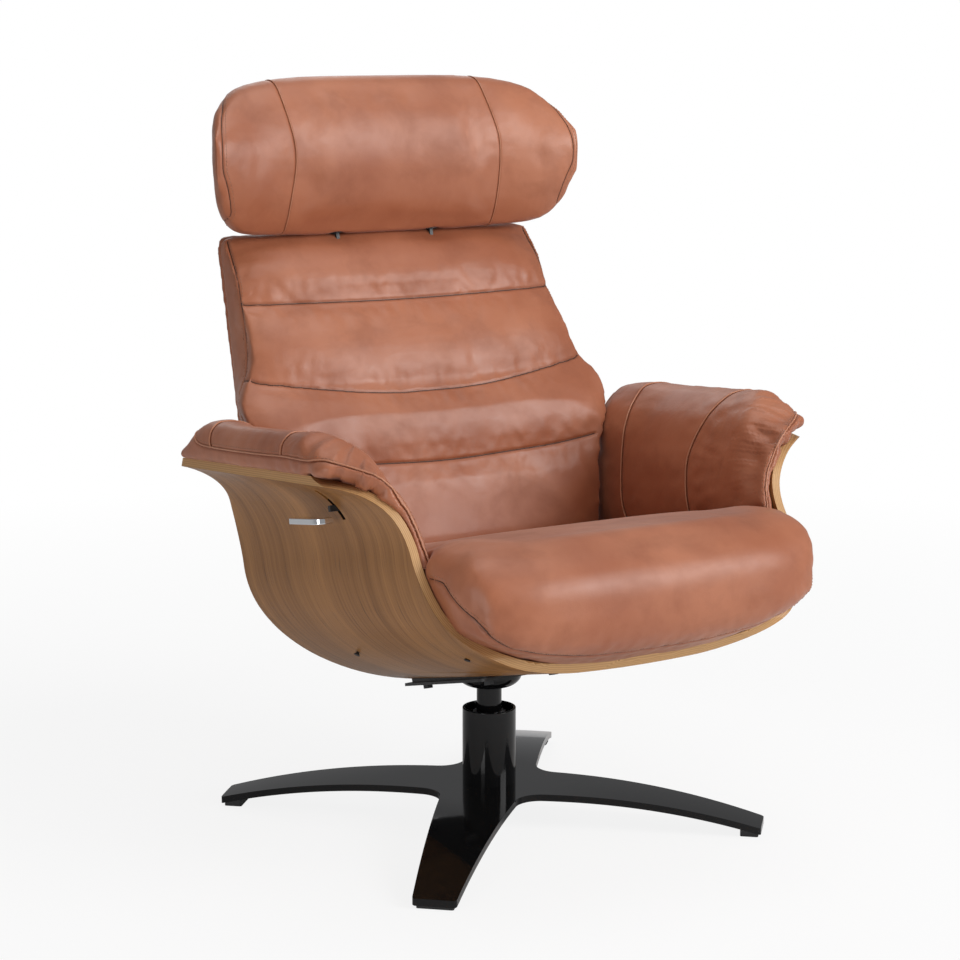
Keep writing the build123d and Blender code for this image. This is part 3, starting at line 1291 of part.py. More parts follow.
# ---- build ---------------------------------------------------------------------------------------------
def build():
    shell = seat_shell()
    pad = arm_pad()
    straps = [strap(FRONT_STRAP_S), strap(REAR_STRAP_S)]
    rail = side_rail(straps)
    board = back_board()
    brackets = head_bracket_gap()
    clamp = clamp_plate()
    pan = seat_pan()
    bearing_bore = JOURNAL_DIAMETER + 2 * SWIVEL_FIT
    plate = hinge_plate()
    stiffener = head_board()
    leaves = head_leaves(stiffener)
    return {
        "star_base": star_base(),
        "leg_glides": leg_glides(),
        "column_tube": column_tube(),
        "upper_bush": bush(BEARING_Z - BUSH_HEIGHT),
        "lower_bush": bush(LOWER_BUSH_Z),
        "thrust_bearing": ring(BEARING_DIAMETER, bearing_bore, BEARING_Z, BEARING_HEIGHT),
        "column_plug": ring(COLUMN_BORE, 0.0, COLUMN_FOOT, PLUG_HEIGHT),
        "swivel_shaft": swivel_shaft(),
        "shaft_clip": shaft_clip(),
        "dome_cover": dome_cover(),
        "swivel_plate": swivel_plate(),
        "plate_saddle": plate_saddle(),
        "clamp_plate": clamp,
        "plate_bolts": plate_bolts(),
        "plate_nuts": plate_nuts(),
        "seat_shell": shell,
        "arm_pad_right": pad,
        "arm_pad_left": mirrored(pad) - lever_pocket(),
        "front_strap": straps[0],
        "rear_strap": straps[1] - clamp,
        "strap_screws": joined(strap_screws()),
        "side_rail_right": rail,
        "side_rail_left": mirrored(rail),
        "pivot_pins": pivot_pins(),
        "pivot_washers": pivot_washers(),
        "front_cross_rod": front_cross_rod(),
        "gas_spring_cylinder": gas_cylinder(),
        "gas_spring_rod": gas_rod(),
        "seat_pan": pan,
        "seat_glides": seat_glides(),
        "seat_cushion": seat_cushion() - pan,
        "back_board": board,
        "back_cushion": back_cushion(board, brackets),
        "back_cover": back_cover(),
        "hinge_plate_right": plate,
        "hinge_plate_left": mirrored(plate),
        "back_cross_tube": back_cross_tube(),
        "gas_pin": gas_pin(),
        "hinge_screws": hinge_screws(),
        "headrest_brackets": head_brackets(board),
        "headrest_pins": head_pins(),
        "headrest_board": stiffener,
        "headrest_leaves": leaves,
        "headrest_cushion": head_cushion(stiffener, leaves),
        "lever_bracket": lever_bracket(),
        "lever_pin": lever_pin(),
        "lever_arm": lever_arm(),
        "lever_paddle": lever_paddle(),
    }


os.makedirs("parts", exist_ok=True)
for name, part in build().items():
    placed = [Pos(0, COLUMN_Y, 0) * solid for solid in part.solids()]
    export_step(Compound(children=placed) if len(placed) > 1 else placed[0], f"parts/{name}.step")
    print(name, "solids", len(placed), "volume", round(part.volume))
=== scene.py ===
from math import cos, exp, pi, radians, sin

import bmesh
import bpy
import numpy as np
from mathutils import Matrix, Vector, noise
from mathutils.bvhtree import BVHTree
from mathutils.kdtree import KDTree


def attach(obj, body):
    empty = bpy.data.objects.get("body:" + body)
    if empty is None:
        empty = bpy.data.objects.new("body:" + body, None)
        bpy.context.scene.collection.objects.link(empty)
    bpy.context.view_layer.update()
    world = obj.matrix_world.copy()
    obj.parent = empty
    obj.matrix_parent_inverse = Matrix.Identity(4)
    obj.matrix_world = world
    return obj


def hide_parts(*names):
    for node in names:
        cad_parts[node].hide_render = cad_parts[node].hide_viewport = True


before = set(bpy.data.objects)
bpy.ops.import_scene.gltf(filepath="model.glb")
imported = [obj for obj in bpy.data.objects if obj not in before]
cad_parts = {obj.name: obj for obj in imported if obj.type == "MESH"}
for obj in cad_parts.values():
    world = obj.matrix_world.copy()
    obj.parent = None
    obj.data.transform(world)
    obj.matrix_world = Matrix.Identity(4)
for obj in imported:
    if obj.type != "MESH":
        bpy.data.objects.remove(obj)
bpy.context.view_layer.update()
scene = bpy.context.scene
scene.view_settings.view_transform = "Standard"

# ---- Studio ------------------------------------------------------------------------------------------------
# A seamless white studio floor and wall, four large soft lamps, and the camera at the photographer's
# place: in front of the chair, to the sitter's right, looking a little down.
COLUMN_Y = 0.0285
MIRROR_SHARE = 0.12
ROOM_STRENGTH = 0.21
FLOOR_NEAR, FLOOR_FAR = 0.9, 2.6
LAMP_AIM = Vector((0, 0, 0.5))
LAMPS = (("key_lamp", (2.0, -3.1, 2.1), 1.9, 112.0), ("fill_lamp", (-2.6, -1.6, 0.5), 0.9, 17.0),
         ("top_lamp", (0.2, -0.4, 3.1), 1.8, 26.0), ("rear_lamp", (0.9, 2.7, 2.5), 1.8, 15.0))

camera = bpy.data.objects.new("studio_camera", bpy.data.cameras.new("studio_camera"))
camera.data.lens = 92.05
camera.data.sensor_width = 36.0
camera.location = (-1.725, -2.846 + COLUMN_Y, 1.099)
camera.rotation_euler = Vector((0.5064, 0.8428, -0.1820)).to_track_quat("-Z", "Y").to_euler()
scene.collection.objects.link(camera)
scene.camera = camera


def feed(tree, made, values):
    """Sets a node's inputs, each to a plain value or to another node's output."""
    for key, value in values.items():
        if isinstance(value, bpy.types.NodeSocket):
            tree.links.new(value, made.inputs[key])
        else:
            made.inputs[key].default_value = value


def node(tree, kind, values=None, **settings):
    """Adds a shader or geometry node with its settings and its inputs."""
    made = tree.nodes.new(kind)
    for key, setting in settings.items():
        setattr(made, key, setting)
    feed(tree, made, values or {})
    return made


def maths(tree, operation, *values):
    return node(tree, "ShaderNodeMath", dict(enumerate(values)), operation=operation).outputs[0]


def vector_maths(tree, operation, *values):
    made = node(tree, "ShaderNodeVectorMath", dict(enumerate(values)), operation=operation)
    return made.outputs["Value" if operation == "LENGTH" else "Vector"]


def remapped(tree, value, start, end, low, high):
    """The span from start to end stretched over low to high, and held there outside it."""
    return node(tree, "ShaderNodeMapRange", {0: value, 1: start, 2: end, 3: low, 4: high}).outputs[0]


def place_on_piece(tree):
    return node(tree, "ShaderNodeTexCoord").outputs["Object"]


def seen_directly(tree):
    """1 for camera and glass rays and a small share for mirror rays, so that the white studio shows without
    lighting the chair."""
    rays = node(tree, "ShaderNodeLightPath").outputs
    mirrored = maths(tree, "MULTIPLY", rays["Is Glossy Ray"], MIRROR_SHARE)
    direct = maths(tree, "MAXIMUM", rays["Is Camera Ray"], mirrored)
    return maths(tree, "MAXIMUM", direct, rays["Is Transmission Ray"])


world = bpy.data.worlds.new("studio")
world.use_nodes = True
world_tree = world.node_tree
world_tree.nodes.clear()
room = node(world_tree, "ShaderNodeBackground", {"Color": (0.96, 0.97, 1.0, 1.0), "Strength": ROOM_STRENGTH})
white = node(world_tree, "ShaderNodeBackground", {"Color": (1.0, 1.0, 1.0, 1.0), "Strength": 1.0})
either = node(world_tree, "ShaderNodeMixShader", {0: seen_directly(world_tree), 1: room.outputs[0],
                                                  2: white.outputs[0]})
node(world_tree, "ShaderNodeOutputWorld", {"Surface": either.outputs[0]})
scene.world = world

floor_mesh = bpy.data.meshes.new("studio_floor")
floor_mesh.from_pydata([(-30, -30, 0), (30, -30, 0), (30, 30, 0), (-30, 30, 0)], [], [(0, 1, 2, 3)])
studio_floor = bpy.data.objects.new("studio_floor", floor_mesh)
scene.collection.objects.link(studio_floor)
floor_paint = bpy.data.materials.new("studio_white")
floor_paint.use_nodes = True
floor_tree = floor_paint.node_tree
floor_tree.nodes.clear()
matt = node(floor_tree, "ShaderNodeBsdfDiffuse", {"Color": (0.85, 0.85, 0.85, 1.0)})
bright = node(floor_tree, "ShaderNodeEmission", {"Color": (1.0, 1.0, 1.0, 1.0), "Strength": 1.0})
afar = vector_maths(floor_tree, "LENGTH", place_on_piece(floor_tree))
paleness = remapped(floor_tree, afar, FLOOR_NEAR, FLOOR_FAR, 0.86, 1.0)
share = maths(floor_tree, "MULTIPLY", seen_directly(floor_tree), paleness)
floor_mix = node(floor_tree, "ShaderNodeMixShader", {0: share, 1: matt.outputs[0], 2: bright.outputs[0]})
node(floor_tree, "ShaderNodeOutputMaterial", {"Surface": floor_mix.outputs[0]})
floor_mesh.materials.append(floor_paint)

for name, place, width, power in LAMPS:
    lamp = bpy.data.lights.new(name, "AREA")
    lamp.size, lamp.energy = width, power
    lamp_object = bpy.data.objects.new(name, lamp)
    lamp_object.location = place
    lamp_object.rotation_euler = (LAMP_AIM - Vector(place)).to_track_quat("-Z", "Y").to_euler()
    scene.collection.objects.link(lamp_object)

# ---- Star base, column and swivel shaft --------------------------------------------------------------------
# Laser-cut steel plate pressed into an arch, with a steel tube welded through its middle.  The shaft turns
# inside the tube and carries a pressed steel dome.  All of it is sprayed in high gloss black.


def surface_of(name, values):
    """A material, its node tree and its Principled shader."""
    made = bpy.data.materials.new(name)
    made.use_nodes = True
    shader = made.node_tree.nodes["Principled BSDF"]
    feed(made.node_tree, shader, values)
    return made, made.node_tree, shader


def dress(material, *names):
    """Gives the CAD nodes a finish."""
    for name in names:
        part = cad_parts[name]
        if not part.material_slots:
            part.data.materials.append(material)
        for place in part.material_slots:
            place.material = material


def sockets(tree, inputs, outputs):
    """Declares a node group's sockets, each a name with its kind, and gives what comes in."""
    for in_out, wanted in (("INPUT", inputs), ("OUTPUT", outputs)):
        for name, kind in wanted.items():
            tree.interface.new_socket(name=name, in_out=in_out, socket_type=f"NodeSocket{kind}")
    return node(tree, "NodeGroupInput").outputs


def cloudy(tree, place, scale, detail, **inputs):
    """Soft noise from 0 to 1; inputs may set its Roughness and its Distortion."""
    made = node(tree, "ShaderNodeTexNoise", {"Vector": place, "Scale": scale, "Detail": detail, **inputs})
    return made.outputs["Fac"]


def bumped(tree, height, strength, reach, **under):
    """The surface's direction where a height ripples it; under may hold the Normal below the ripples."""
    return node(tree, "ShaderNodeBump", {"Height": height, "Strength": strength, "Distance": reach,
                                         **under}).outputs[0]


def handling_group():
    """Fine dust and wiping marks: a roughness that drifts over the surface, and a faint height."""
    tree = bpy.data.node_groups.new("handling_marks", "ShaderNodeTree")
    given = sockets(tree, {"Place": "Vector", "Roughness": "Float", "Variation": "Float", "Grit": "Float"},
                    {"Roughness": "Float", "Height": "Float"})
    drift = maths(tree, "MULTIPLY_ADD", cloudy(tree, given["Place"], scale=7.0, detail=4.0),
                  given["Variation"], given["Roughness"])
    node(tree, "NodeGroupOutput", {"Roughness": drift,
                                   "Height": cloudy(tree, given["Place"], scale=given["Grit"], detail=2.0)})
    return tree


HANDLING = handling_group()
RIPPLE_REACH = 0.0002


def handled(name, values, roughness, variation, grit, bump):
    """A painted, plated or moulded finish with handling marks."""
    made, tree, shader = surface_of(name, values)
    marks = node(tree, "ShaderNodeGroup", {"Place": place_on_piece(tree), "Roughness": roughness,
                                           "Variation": variation, "Grit": grit}, node_tree=HANDLING).outputs
    feed(tree, shader, {"Roughness": marks["Roughness"],
                        "Normal": bumped(tree, marks["Height"], bump, RIPPLE_REACH)})
    return made


gloss_black = handled("gloss_black_paint",
                      {"Base Color": (0.0055, 0.0056, 0.0060, 1), "Specular IOR Level": 0.3},
                      roughness=0.045, variation=0.07, grit=260.0, bump=0.12)
dress(gloss_black, "star_base", "column_tube", "swivel_shaft", "dome_cover")
bearing_steel = handled("zinc_plate", {"Base Color": (0.52, 0.53, 0.55, 1), "Metallic": 1.0},
                        roughness=0.26, variation=0.16, grit=900.0, bump=0.2)
dress(bearing_steel, "thrust_bearing", "shaft_clip")

# ---- Glides and bushes -------------------------------------------------------------------------------------
# Wedge-shaped glides of black plastic sit under the leg tips, the shaft runs in two black nylon bushes
# pressed into the tube, and a moulded plug closes the tube's foot.  The seat's glides and the washers at
# the pivots are pale nylon.
black_plastic = handled("black_plastic", {"Base Color": (0.018, 0.018, 0.019, 1)},
                        roughness=0.42, variation=0.2, grit=700.0, bump=0.5)
dress(black_plastic, "leg_glides", "upper_bush", "lower_bush", "column_plug")
pale_nylon = handled("pale_nylon", {"Base Color": (0.62, 0.60, 0.54, 1)},
                     roughness=0.4, variation=0.2, grit=500.0, bump=0.3)
dress(pale_nylon, "pivot_washers", "seat_glides")

# ---- Steel carrying frame ----------------------------------------------------------------------------------
# The swivel plate under the shell, the clamp plate and rails inside it and the hinge plates are cut and
# bent from sheet steel with a thin satin black powder coat.  Most pins, nuts and rods are zinc plated.
satin_black = handled("satin_black_powder_coat", {"Base Color": (0.02, 0.02, 0.021, 1)},
                      roughness=0.38, variation=0.15, grit=1200.0, bump=0.6)
dress(satin_black, "swivel_plate", "plate_saddle", "clamp_plate", "plate_bolts", "front_strap", "rear_strap",
      "strap_screws", "side_rail_right", "side_rail_left", "hinge_plate_right", "hinge_plate_left",
      "back_cross_tube", "headrest_brackets", "headrest_leaves", "headrest_pins", "lever_bracket",
      "lever_arm")
dress(bearing_steel, "plate_nuts", "pivot_pins", "front_cross_rod", "gas_pin", "hinge_screws", "lever_pin")
dress(gloss_black, "gas_spring_cylinder")

# ---- Hidden boards -----------------------------------------------------------------------------------------
# The seat pan, the back board and the headrest's stiffener are sawn from plain birch plywood, sanded and
# left bare under the upholstery.


def blended(tree, share, low, high):
    """A colour between low and high."""
    return node(tree, "ShaderNodeMix", {0: share, 6: low, 7: high}, data_type="RGBA").outputs[2]


birch, birch_tree, birch_shader = surface_of("bare_birch_ply", {"Roughness": 0.62})
along_board = vector_maths(birch_tree, "MULTIPLY", place_on_piece(birch_tree), (4.0, 90.0, 90.0))
birch_colour = blended(birch_tree, cloudy(birch_tree, along_board, scale=1.0, detail=4.0),
                       (0.52, 0.37, 0.22, 1), (0.72, 0.56, 0.38, 1))
feed(birch_tree, birch_shader, {"Base Color": birch_colour})
dress(birch, "seat_pan", "back_board", "headrest_board")

# ---- Bent wood shell ---------------------------------------------------------------------------------------
# Beech veneers glued and pressed into one deep U with rolled-out arms, faced with walnut whose grain runs
# round the U.  The sawn edge is eased, shows its pale laminations and is lacquered like the faces.
SHELL_TILT = radians(14.7)
SHELL_HEIGHT = 0.207
PLY = 0.012
PLY_LAYERS = 9
EDGE_EASING = 0.0022
RIM_LENGTH = 0.4
LEVER_SLOT = (-0.297, -0.203, 0.2515)
LEVER_SLOT_REACH = 0.045
# Near black for the lever slot's walls: painted shade inside the slot.
SLOT_PAINTED_SHADE = (0.012, 0.009, 0.007, 1)
FACE_VENEER = 0.035
shell_axis = Vector((0.0, -cos(SHELL_TILT), sin(SHELL_TILT)))


def solid_copy(cad_name, name):
    """The CAD solid's skin as one joined mesh, to be worked on."""
    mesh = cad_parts[cad_name].data.copy()
    mesh.materials.clear()
    work = bmesh.new()
    work.from_mesh(mesh)
    bmesh.ops.remove_doubles(work, verts=work.verts, dist=2e-5)
    for edge in work.edges:
        edge.smooth = len(edge.link_faces) == 2 and edge.calc_face_angle(0.0) < radians(38)
    for face in work.faces:
        face.smooth = True
    work.to_mesh(mesh)
    work.free()
    copy = bpy.data.objects.new(name, mesh)
    scene.collection.objects.link(copy)
    return copy


def baked(piece):
    """The piece's modifiers turned into its plain mesh."""
    depsgraph = bpy.context.evaluated_depsgraph_get()
    mesh = bpy.data.meshes.new_from_object(piece.evaluated_get(depsgraph))
    piece.modifiers.clear()
    piece.data = mesh
    return piece


def rim_edges(mesh):
    """The long sharp edges round the sheet, without those of the slot and the screw holes."""
    work = bmesh.new()
    work.from_mesh(mesh)
    sharp = {edge for edge in work.edges
             if len(edge.link_faces) == 2 and edge.calc_face_angle(0.0) > radians(50)}
    chosen = []
    while sharp:
        chain, reached = [], [sharp.pop()]
        while reached:
            edge = reached.pop()
            chain.append(edge)
            for corner in edge.verts:
                for other in corner.link_edges:
                    if other in sharp:
                        sharp.discard(other)
                        reached.append(other)
        if sum(edge.calc_length() for edge in chain) > RIM_LENGTH:
            chosen += [edge.index for edge in chain]
    work.free()
    return chosen


ARM_INSIDE_X, ARM_UNDERSIDE_Z, ARM_RIM_X = 0.30, 0.42, 0.365
BOWL_HEART_Z = 0.19
FACING_SIDEWAYS, FACING_LENGTHWISE = 0.7, 0.4


def outward(middle):
    """Roughly the way out of the shell at a face: round the U below, downwards under the rolled-out arms."""
    if abs(middle.x) > ARM_INSIDE_X and middle.z > ARM_UNDERSIDE_Z:
        return Vector((abs(middle.x) / middle.x, 0.0, -1.0))
    up = (middle.z - SHELL_HEIGHT) * cos(SHELL_TILT) + (middle.y - COLUMN_Y) * sin(SHELL_TILT)
    upward = Vector((0.0, sin(SHELL_TILT), cos(SHELL_TILT)))
    return Vector((middle.x, 0.0, 0.0)) + upward * (up - BOWL_HEART_Z)


shell_piece = solid_copy("seat_shell", "walnut_shell")
work = bmesh.new()
work.from_mesh(shell_piece.data)
outer_corners, outer_faces = [], []
for face in work.faces:
    middle = face.calc_center_median()
    on_rim = abs(middle.x) > ARM_RIM_X and abs(face.normal.x) > FACING_SIDEWAYS
    on_cut = abs(face.normal.dot(shell_axis)) >= FACING_LENGTHWISE
    if not on_rim and not on_cut and face.normal.dot(outward(middle)) > 0.0:
        outer_faces.append(tuple(range(len(outer_corners), len(outer_corners) + len(face.verts))))
        outer_corners.extend(corner.co.copy() for corner in face.verts)
work.free()
outer_skin = BVHTree.FromPolygons(outer_corners, outer_faces)
rim = shell_piece.data.attributes.new("bevel_weight_edge", "FLOAT", "EDGE")
for index in rim_edges(shell_piece.data):
    rim.data[index].value = 1.0
eased = shell_piece.modifiers.new("eased_edge", "BEVEL")
eased.width, eased.segments, eased.limit_method = EDGE_EASING, 3, "WEIGHT"
baked(shell_piece)
depth = shell_piece.data.attributes.new("depth", "FLOAT", "POINT")
for index, vertex in enumerate(shell_piece.data.vertices):
    nearest = outer_skin.find_nearest(vertex.co)[0]
    depth.data[index].value = min((nearest - vertex.co).length / PLY, 1.0)


def veneer_group():
    """Walnut: broad tone bands, fine streaks and short dark pores, all long round the U.  Along holds the
    shell's own coordinates, whose Y runs across the grain."""
    tree = bpy.data.node_groups.new("walnut_veneer", "ShaderNodeTree")
    given = sockets(tree, {"Along": "Vector", "Light": "Color", "Dark": "Color"},
                    {"Colour": "Color", "Height": "Float"})

    def grain(across, along, detail, **inputs):
        place = vector_maths(tree, "MULTIPLY", given["Along"], (along, across, along))
        return cloudy(tree, place, scale=1.0, detail=detail, **inputs)

    sway = grain(across=7.0, along=0.8, detail=1.0)
    band = grain(across=34.0, along=0.8, detail=3.0, Distortion=0.25)
    streak = grain(across=210.0, along=2.0, detail=6.0, Roughness=0.7)
    fibre = grain(across=900.0, along=14.0, detail=2.0)
    tone = maths(tree, "ADD", maths(tree, "ADD", band, streak), sway)
    body = blended(tree, remapped(tree, tone, 1.12, 1.82, 0.0, 1.0), given["Dark"], given["Light"])
    pore = remapped(tree, fibre, 0.60, 0.68, 0.0, 0.55)
    node(tree, "NodeGroupOutput", {"Colour": blended(tree, pore, body, (0.045, 0.022, 0.012, 1)),
                                   "Height": maths(tree, "SUBTRACT", streak, pore)})
    return tree


walnut, wood_tree, wood_shader = surface_of("lacquered_walnut",
                                            {"Roughness": 0.38, "Specular IOR Level": 0.22})
centred = vector_maths(wood_tree, "SUBTRACT", place_on_piece(wood_tree), (0.0, COLUMN_Y, SHELL_HEIGHT))
along_shell = node(wood_tree, "ShaderNodeMapping",
                   {"Vector": centred, "Rotation": (SHELL_TILT, 0, 0)}).outputs[0]
veneer = node(wood_tree, "ShaderNodeGroup",
              {"Along": along_shell, "Light": (0.455, 0.215, 0.072, 1), "Dark": (0.205, 0.085, 0.024, 1)},
              node_tree=veneer_group()).outputs
level = node(wood_tree, "ShaderNodeAttribute", attribute_name="depth").outputs["Fac"]
layer = maths(wood_tree, "SINE", maths(wood_tree, "MULTIPLY", level, PLY_LAYERS * pi))
edge_colour = blended(wood_tree, remapped(wood_tree, layer, -0.7, 0.9, 0.0, 1.0), (0.46, 0.25, 0.105, 1),
                      (0.58, 0.345, 0.155, 1))
on_edge = maths(wood_tree, "MULTIPLY", maths(wood_tree, "GREATER_THAN", level, FACE_VENEER),
                maths(wood_tree, "LESS_THAN", level, 1.0 - FACE_VENEER))
wood_colour = blended(wood_tree, on_edge, veneer["Colour"], edge_colour)
# The sawn edge round the lever slot is coloured near black: painted shade inside the slot.
from_slot = vector_maths(wood_tree, "LENGTH", vector_maths(wood_tree, "SUBTRACT", along_shell, LEVER_SLOT))
in_slot = maths(wood_tree, "MULTIPLY", maths(wood_tree, "LESS_THAN", from_slot, LEVER_SLOT_REACH), on_edge)
feed(wood_tree, wood_shader, {"Base Color": blended(wood_tree, in_slot, wood_colour, SLOT_PAINTED_SHADE),
                              "Normal": bumped(wood_tree, veneer["Height"], strength=0.22, reach=0.0004)})
shell_piece.data.materials.append(walnut)
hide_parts("seat_shell")
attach(shell_piece, "carrier")

# ---- Seat cushion ------------------------------------------------------------------------------------------
# A foam block under a feather layer, in aniline-dyed hide.  The top panel runs over the nose to a seam under
# it, and side panels are sewn on along the top edges; the hide is stuffed tight, so it swells from its seams.


def hide_group():
    """Pull-up leather: cloudy dye with darker blots, pebbled pores and soft creases.  Seam is 1 along a
    sewn line, where painted shade darkens the hide in the groove."""
    tree = bpy.data.node_groups.new("aniline_hide", "ShaderNodeTree")
    given = sockets(tree, {"Place": "Vector", "Seam": "Float", "Light": "Color", "Mid": "Color",
                           "Dark": "Color"},
                    {"Colour": "Color", "Roughness": "Float", "Grain": "Float", "Creases": "Float"})
    place, dark = given["Place"], given["Dark"]
    cloud = cloudy(tree, place, scale=7.0, detail=4.0, Roughness=0.55, Distortion=0.2)
    patch = cloudy(tree, place, scale=15.0, detail=4.0, Roughness=0.6, Distortion=0.3)
    dyed = blended(tree, remapped(tree, cloud, 0.34, 0.68, 0.0, 1.0), given["Mid"], given["Light"])
    blotted = blended(tree, remapped(tree, patch, 0.48, 0.80, 0.0, 0.45), dyed, dark)
    # Painted shade: along the seams' grooves the hide is blended towards its dark tone.
    seam_shaded = blended(tree, maths(tree, "MULTIPLY", given["Seam"], 0.6), blotted, dark)
    pebble = node(tree, "ShaderNodeTexVoronoi", {"Vector": place, "Scale": 620.0}, feature="F1")
    node(tree, "NodeGroupOutput", {"Colour": seam_shaded,
                                   "Roughness": remapped(tree, patch, 0.3, 0.75, 0.37, 0.52),
                                   "Grain": pebble.outputs["Distance"],
                                   "Creases": cloudy(tree, place, scale=12.0, detail=4.0, Roughness=0.5,
                                                     Distortion=0.6)})
    return tree


HIDE = hide_group()


def leather(name, light, mid, dark, creases):
    """A hide in three tones of dye, with its creases' strength."""
    made, tree, shader = surface_of(name, {"Specular IOR Level": 0.50, "Sheen Weight": 0.10,
                                           "Sheen Roughness": 0.4})
    seam = node(tree, "ShaderNodeAttribute", attribute_name="seam").outputs["Fac"]
    hide = node(tree, "ShaderNodeGroup", {"Place": place_on_piece(tree), "Seam": seam, "Light": (*light, 1),
                                          "Mid": (*mid, 1), "Dark": (*dark, 1)}, node_tree=HIDE).outputs
    creased = bumped(tree, hide["Creases"], strength=creases, reach=0.006)
    feed(tree, shader, {"Base Color": hide["Colour"], "Roughness": hide["Roughness"],
                        "Normal": bumped(tree, hide["Grain"], strength=0.16, reach=0.0004, Normal=creased)})
    return made


caramel_hide = leather("caramel_hide", (0.440, 0.160, 0.080), (0.335, 0.104, 0.046), (0.190, 0.048, 0.015),
                       creases=0.22)
# The welts' hide is a paler copy of the caramel hide: a painted highlight along their raised edges.
welt_highlight_hide = leather("welt_painted_highlight_hide", (0.56, 0.25, 0.14), (0.46, 0.18, 0.095), (0.28, 0.085, 0.040),
                         creases=0.1)
# A near-black copy of the hide, for cords of painted shadow at the bottom of seams.
seam_shadow_hide = leather("seam_shadow_hide", (0.060, 0.018, 0.008), (0.045, 0.013, 0.006),
                         (0.030, 0.009, 0.004), creases=0.1)
thread, thread_tree, thread_shader = surface_of("waxed_thread", {"Roughness": 0.5, "Sheen Weight": 0.2})
twist = cloudy(thread_tree, place_on_piece(thread_tree), scale=900.0, detail=2.0)
feed(thread_tree, thread_shader, {"Base Color": blended(thread_tree, twist, (0.20, 0.075, 0.034, 1),
                                                        (0.42, 0.19, 0.10, 1))})


def points_of(mesh):
    flat = np.empty(len(mesh.vertices) * 3)
    mesh.vertices.foreach_get("co", flat)
    return flat.reshape(-1, 3)


def set_points(mesh, points):
    mesh.vertices.foreach_set("co", np.ascontiguousarray(points, dtype=np.float32).ravel())
    mesh.update()


CURVE_STEPS = 24


def smooth_line(guides, spacing=0.003):
    """Evenly spaced points on a smooth curve through a seam's guide points."""
    ends = [2 * Vector(guides[0]) - Vector(guides[1]), *map(Vector, guides),
            2 * Vector(guides[-1]) - Vector(guides[-2])]
    dense = []
    for a, b, c, d in zip(ends, ends[1:], ends[2:], ends[3:]):
        for step in range(CURVE_STEPS):
            t = step / CURVE_STEPS
            dense.append(0.5 * (2 * b + (c - a) * t + (2 * a - 5 * b + 4 * c - d) * t ** 2
                                + (3 * b - a - 3 * c + d) * t ** 3))
    dense.append(ends[-2])
    lengths = np.cumsum([0.0] + [(q - p).length for p, q in zip(dense, dense[1:])])
    wanted = np.linspace(0.0, lengths[-1], max(int(lengths[-1] / spacing), 2) + 1)
    columns = [np.interp(wanted, lengths, [p[axis] for p in dense]) for axis in range(3)]
    return [Vector(p) for p in zip(*columns)]


def skin_of(piece):
    corners = [vertex.co.copy() for vertex in piece.data.vertices]
    return BVHTree.FromPolygons(corners, [tuple(face.vertices) for face in piece.data.polygons])


def laid_on(skin, line, aside=0.0, lift=0.0):
    """The line drawn on the skin, moved sideways along it and lifted off it: points and normals."""
    places = [skin.find_nearest(p) for p in line]
    if aside:
        moved = []
        for index, (place, normal, *_) in enumerate(places):
            before, after = places[max(index - 1, 0)][0], places[min(index + 1, len(places) - 1)][0]
            moved.append(place + normal.cross(after - before).normalized() * aside)
        places = [skin.find_nearest(p) for p in moved]
    return [(place + normal * lift, normal) for place, normal, *_ in places]


NEXT_SEAM = 10.0


def near_seams(piece, lines):
    """For each point of the skin: how far its nearest seam is, and how far along the seam that is.  The
    seams start NEXT_SEAM apart, so that no two of them pucker alike."""
    tree = KDTree(sum(len(line) for line in lines))
    along, count = [], 0
    for number, line in enumerate(lines):
        travelled = NEXT_SEAM * number
        for index, place in enumerate(line):
            travelled += (place - line[index - 1]).length if index else 0.0
            tree.insert(place, count)
            along.append(travelled)
            count += 1
    tree.balance()
    away = np.empty(len(piece.data.vertices))
    reach = np.empty(len(piece.data.vertices))
    for index, vertex in enumerate(piece.data.vertices):
        _, which, away[index] = tree.find(vertex.co)
        reach[index] = along[which]
    return away, reach


def evened(mesh, values, rounds):
    """Values on the skin's points, averaged with their neighbours'."""
    ends = np.empty(len(mesh.edges) * 2, dtype=np.int32)
    mesh.edges.foreach_get("vertices", ends)
    one, other = ends[::2], ends[1::2]
    neighbours = np.bincount(ends, minlength=len(values))
    for _ in range(rounds):
        total = np.bincount(one, values[other], len(values)) + np.bincount(other, values[one], len(values))
        values = 0.5 * values + 0.5 * total / neighbours
    return values


def eased_step(start, end, place):
    """0 before start and 1 past end, smooth between."""
    share = np.clip((place - start) / (end - start), 0.0, 1.0)
    return share * share * (3.0 - 2.0 * share)


def rounded(mesh, points, rounds, share):
    """Points drawn towards their neighbours' middle, each by its share."""
    middle = np.column_stack([evened(mesh, points[:, axis], rounds) for axis in range(3)])
    return points + (middle - points) * share[:, None]


def even_skin(piece, voxel, relax=0, finer=0):
    """Remeshes a skin into even faces, smooths it relax times and splits its faces finer times."""
    even = piece.modifiers.new("even_skin", "REMESH")
    even.mode, even.voxel_size, even.use_smooth_shade = "VOXEL", voxel, True
    if relax:
        relaxed = piece.modifiers.new("relaxed_skin", "SMOOTH")
        relaxed.factor, relaxed.iterations = 0.5, relax
    if finer:
        split = piece.modifiers.new("finer_skin", "SUBSURF")
        split.levels = split.render_levels = finer
    return baked(piece)


DRAWN_IN = 0.004
HOLLOW, SWELL, SLIDE = 0.0022, 0.004, 0.002
PRESSURE = 4.0
PRESSURE_FRAMES = 20
PINNED = 0.35


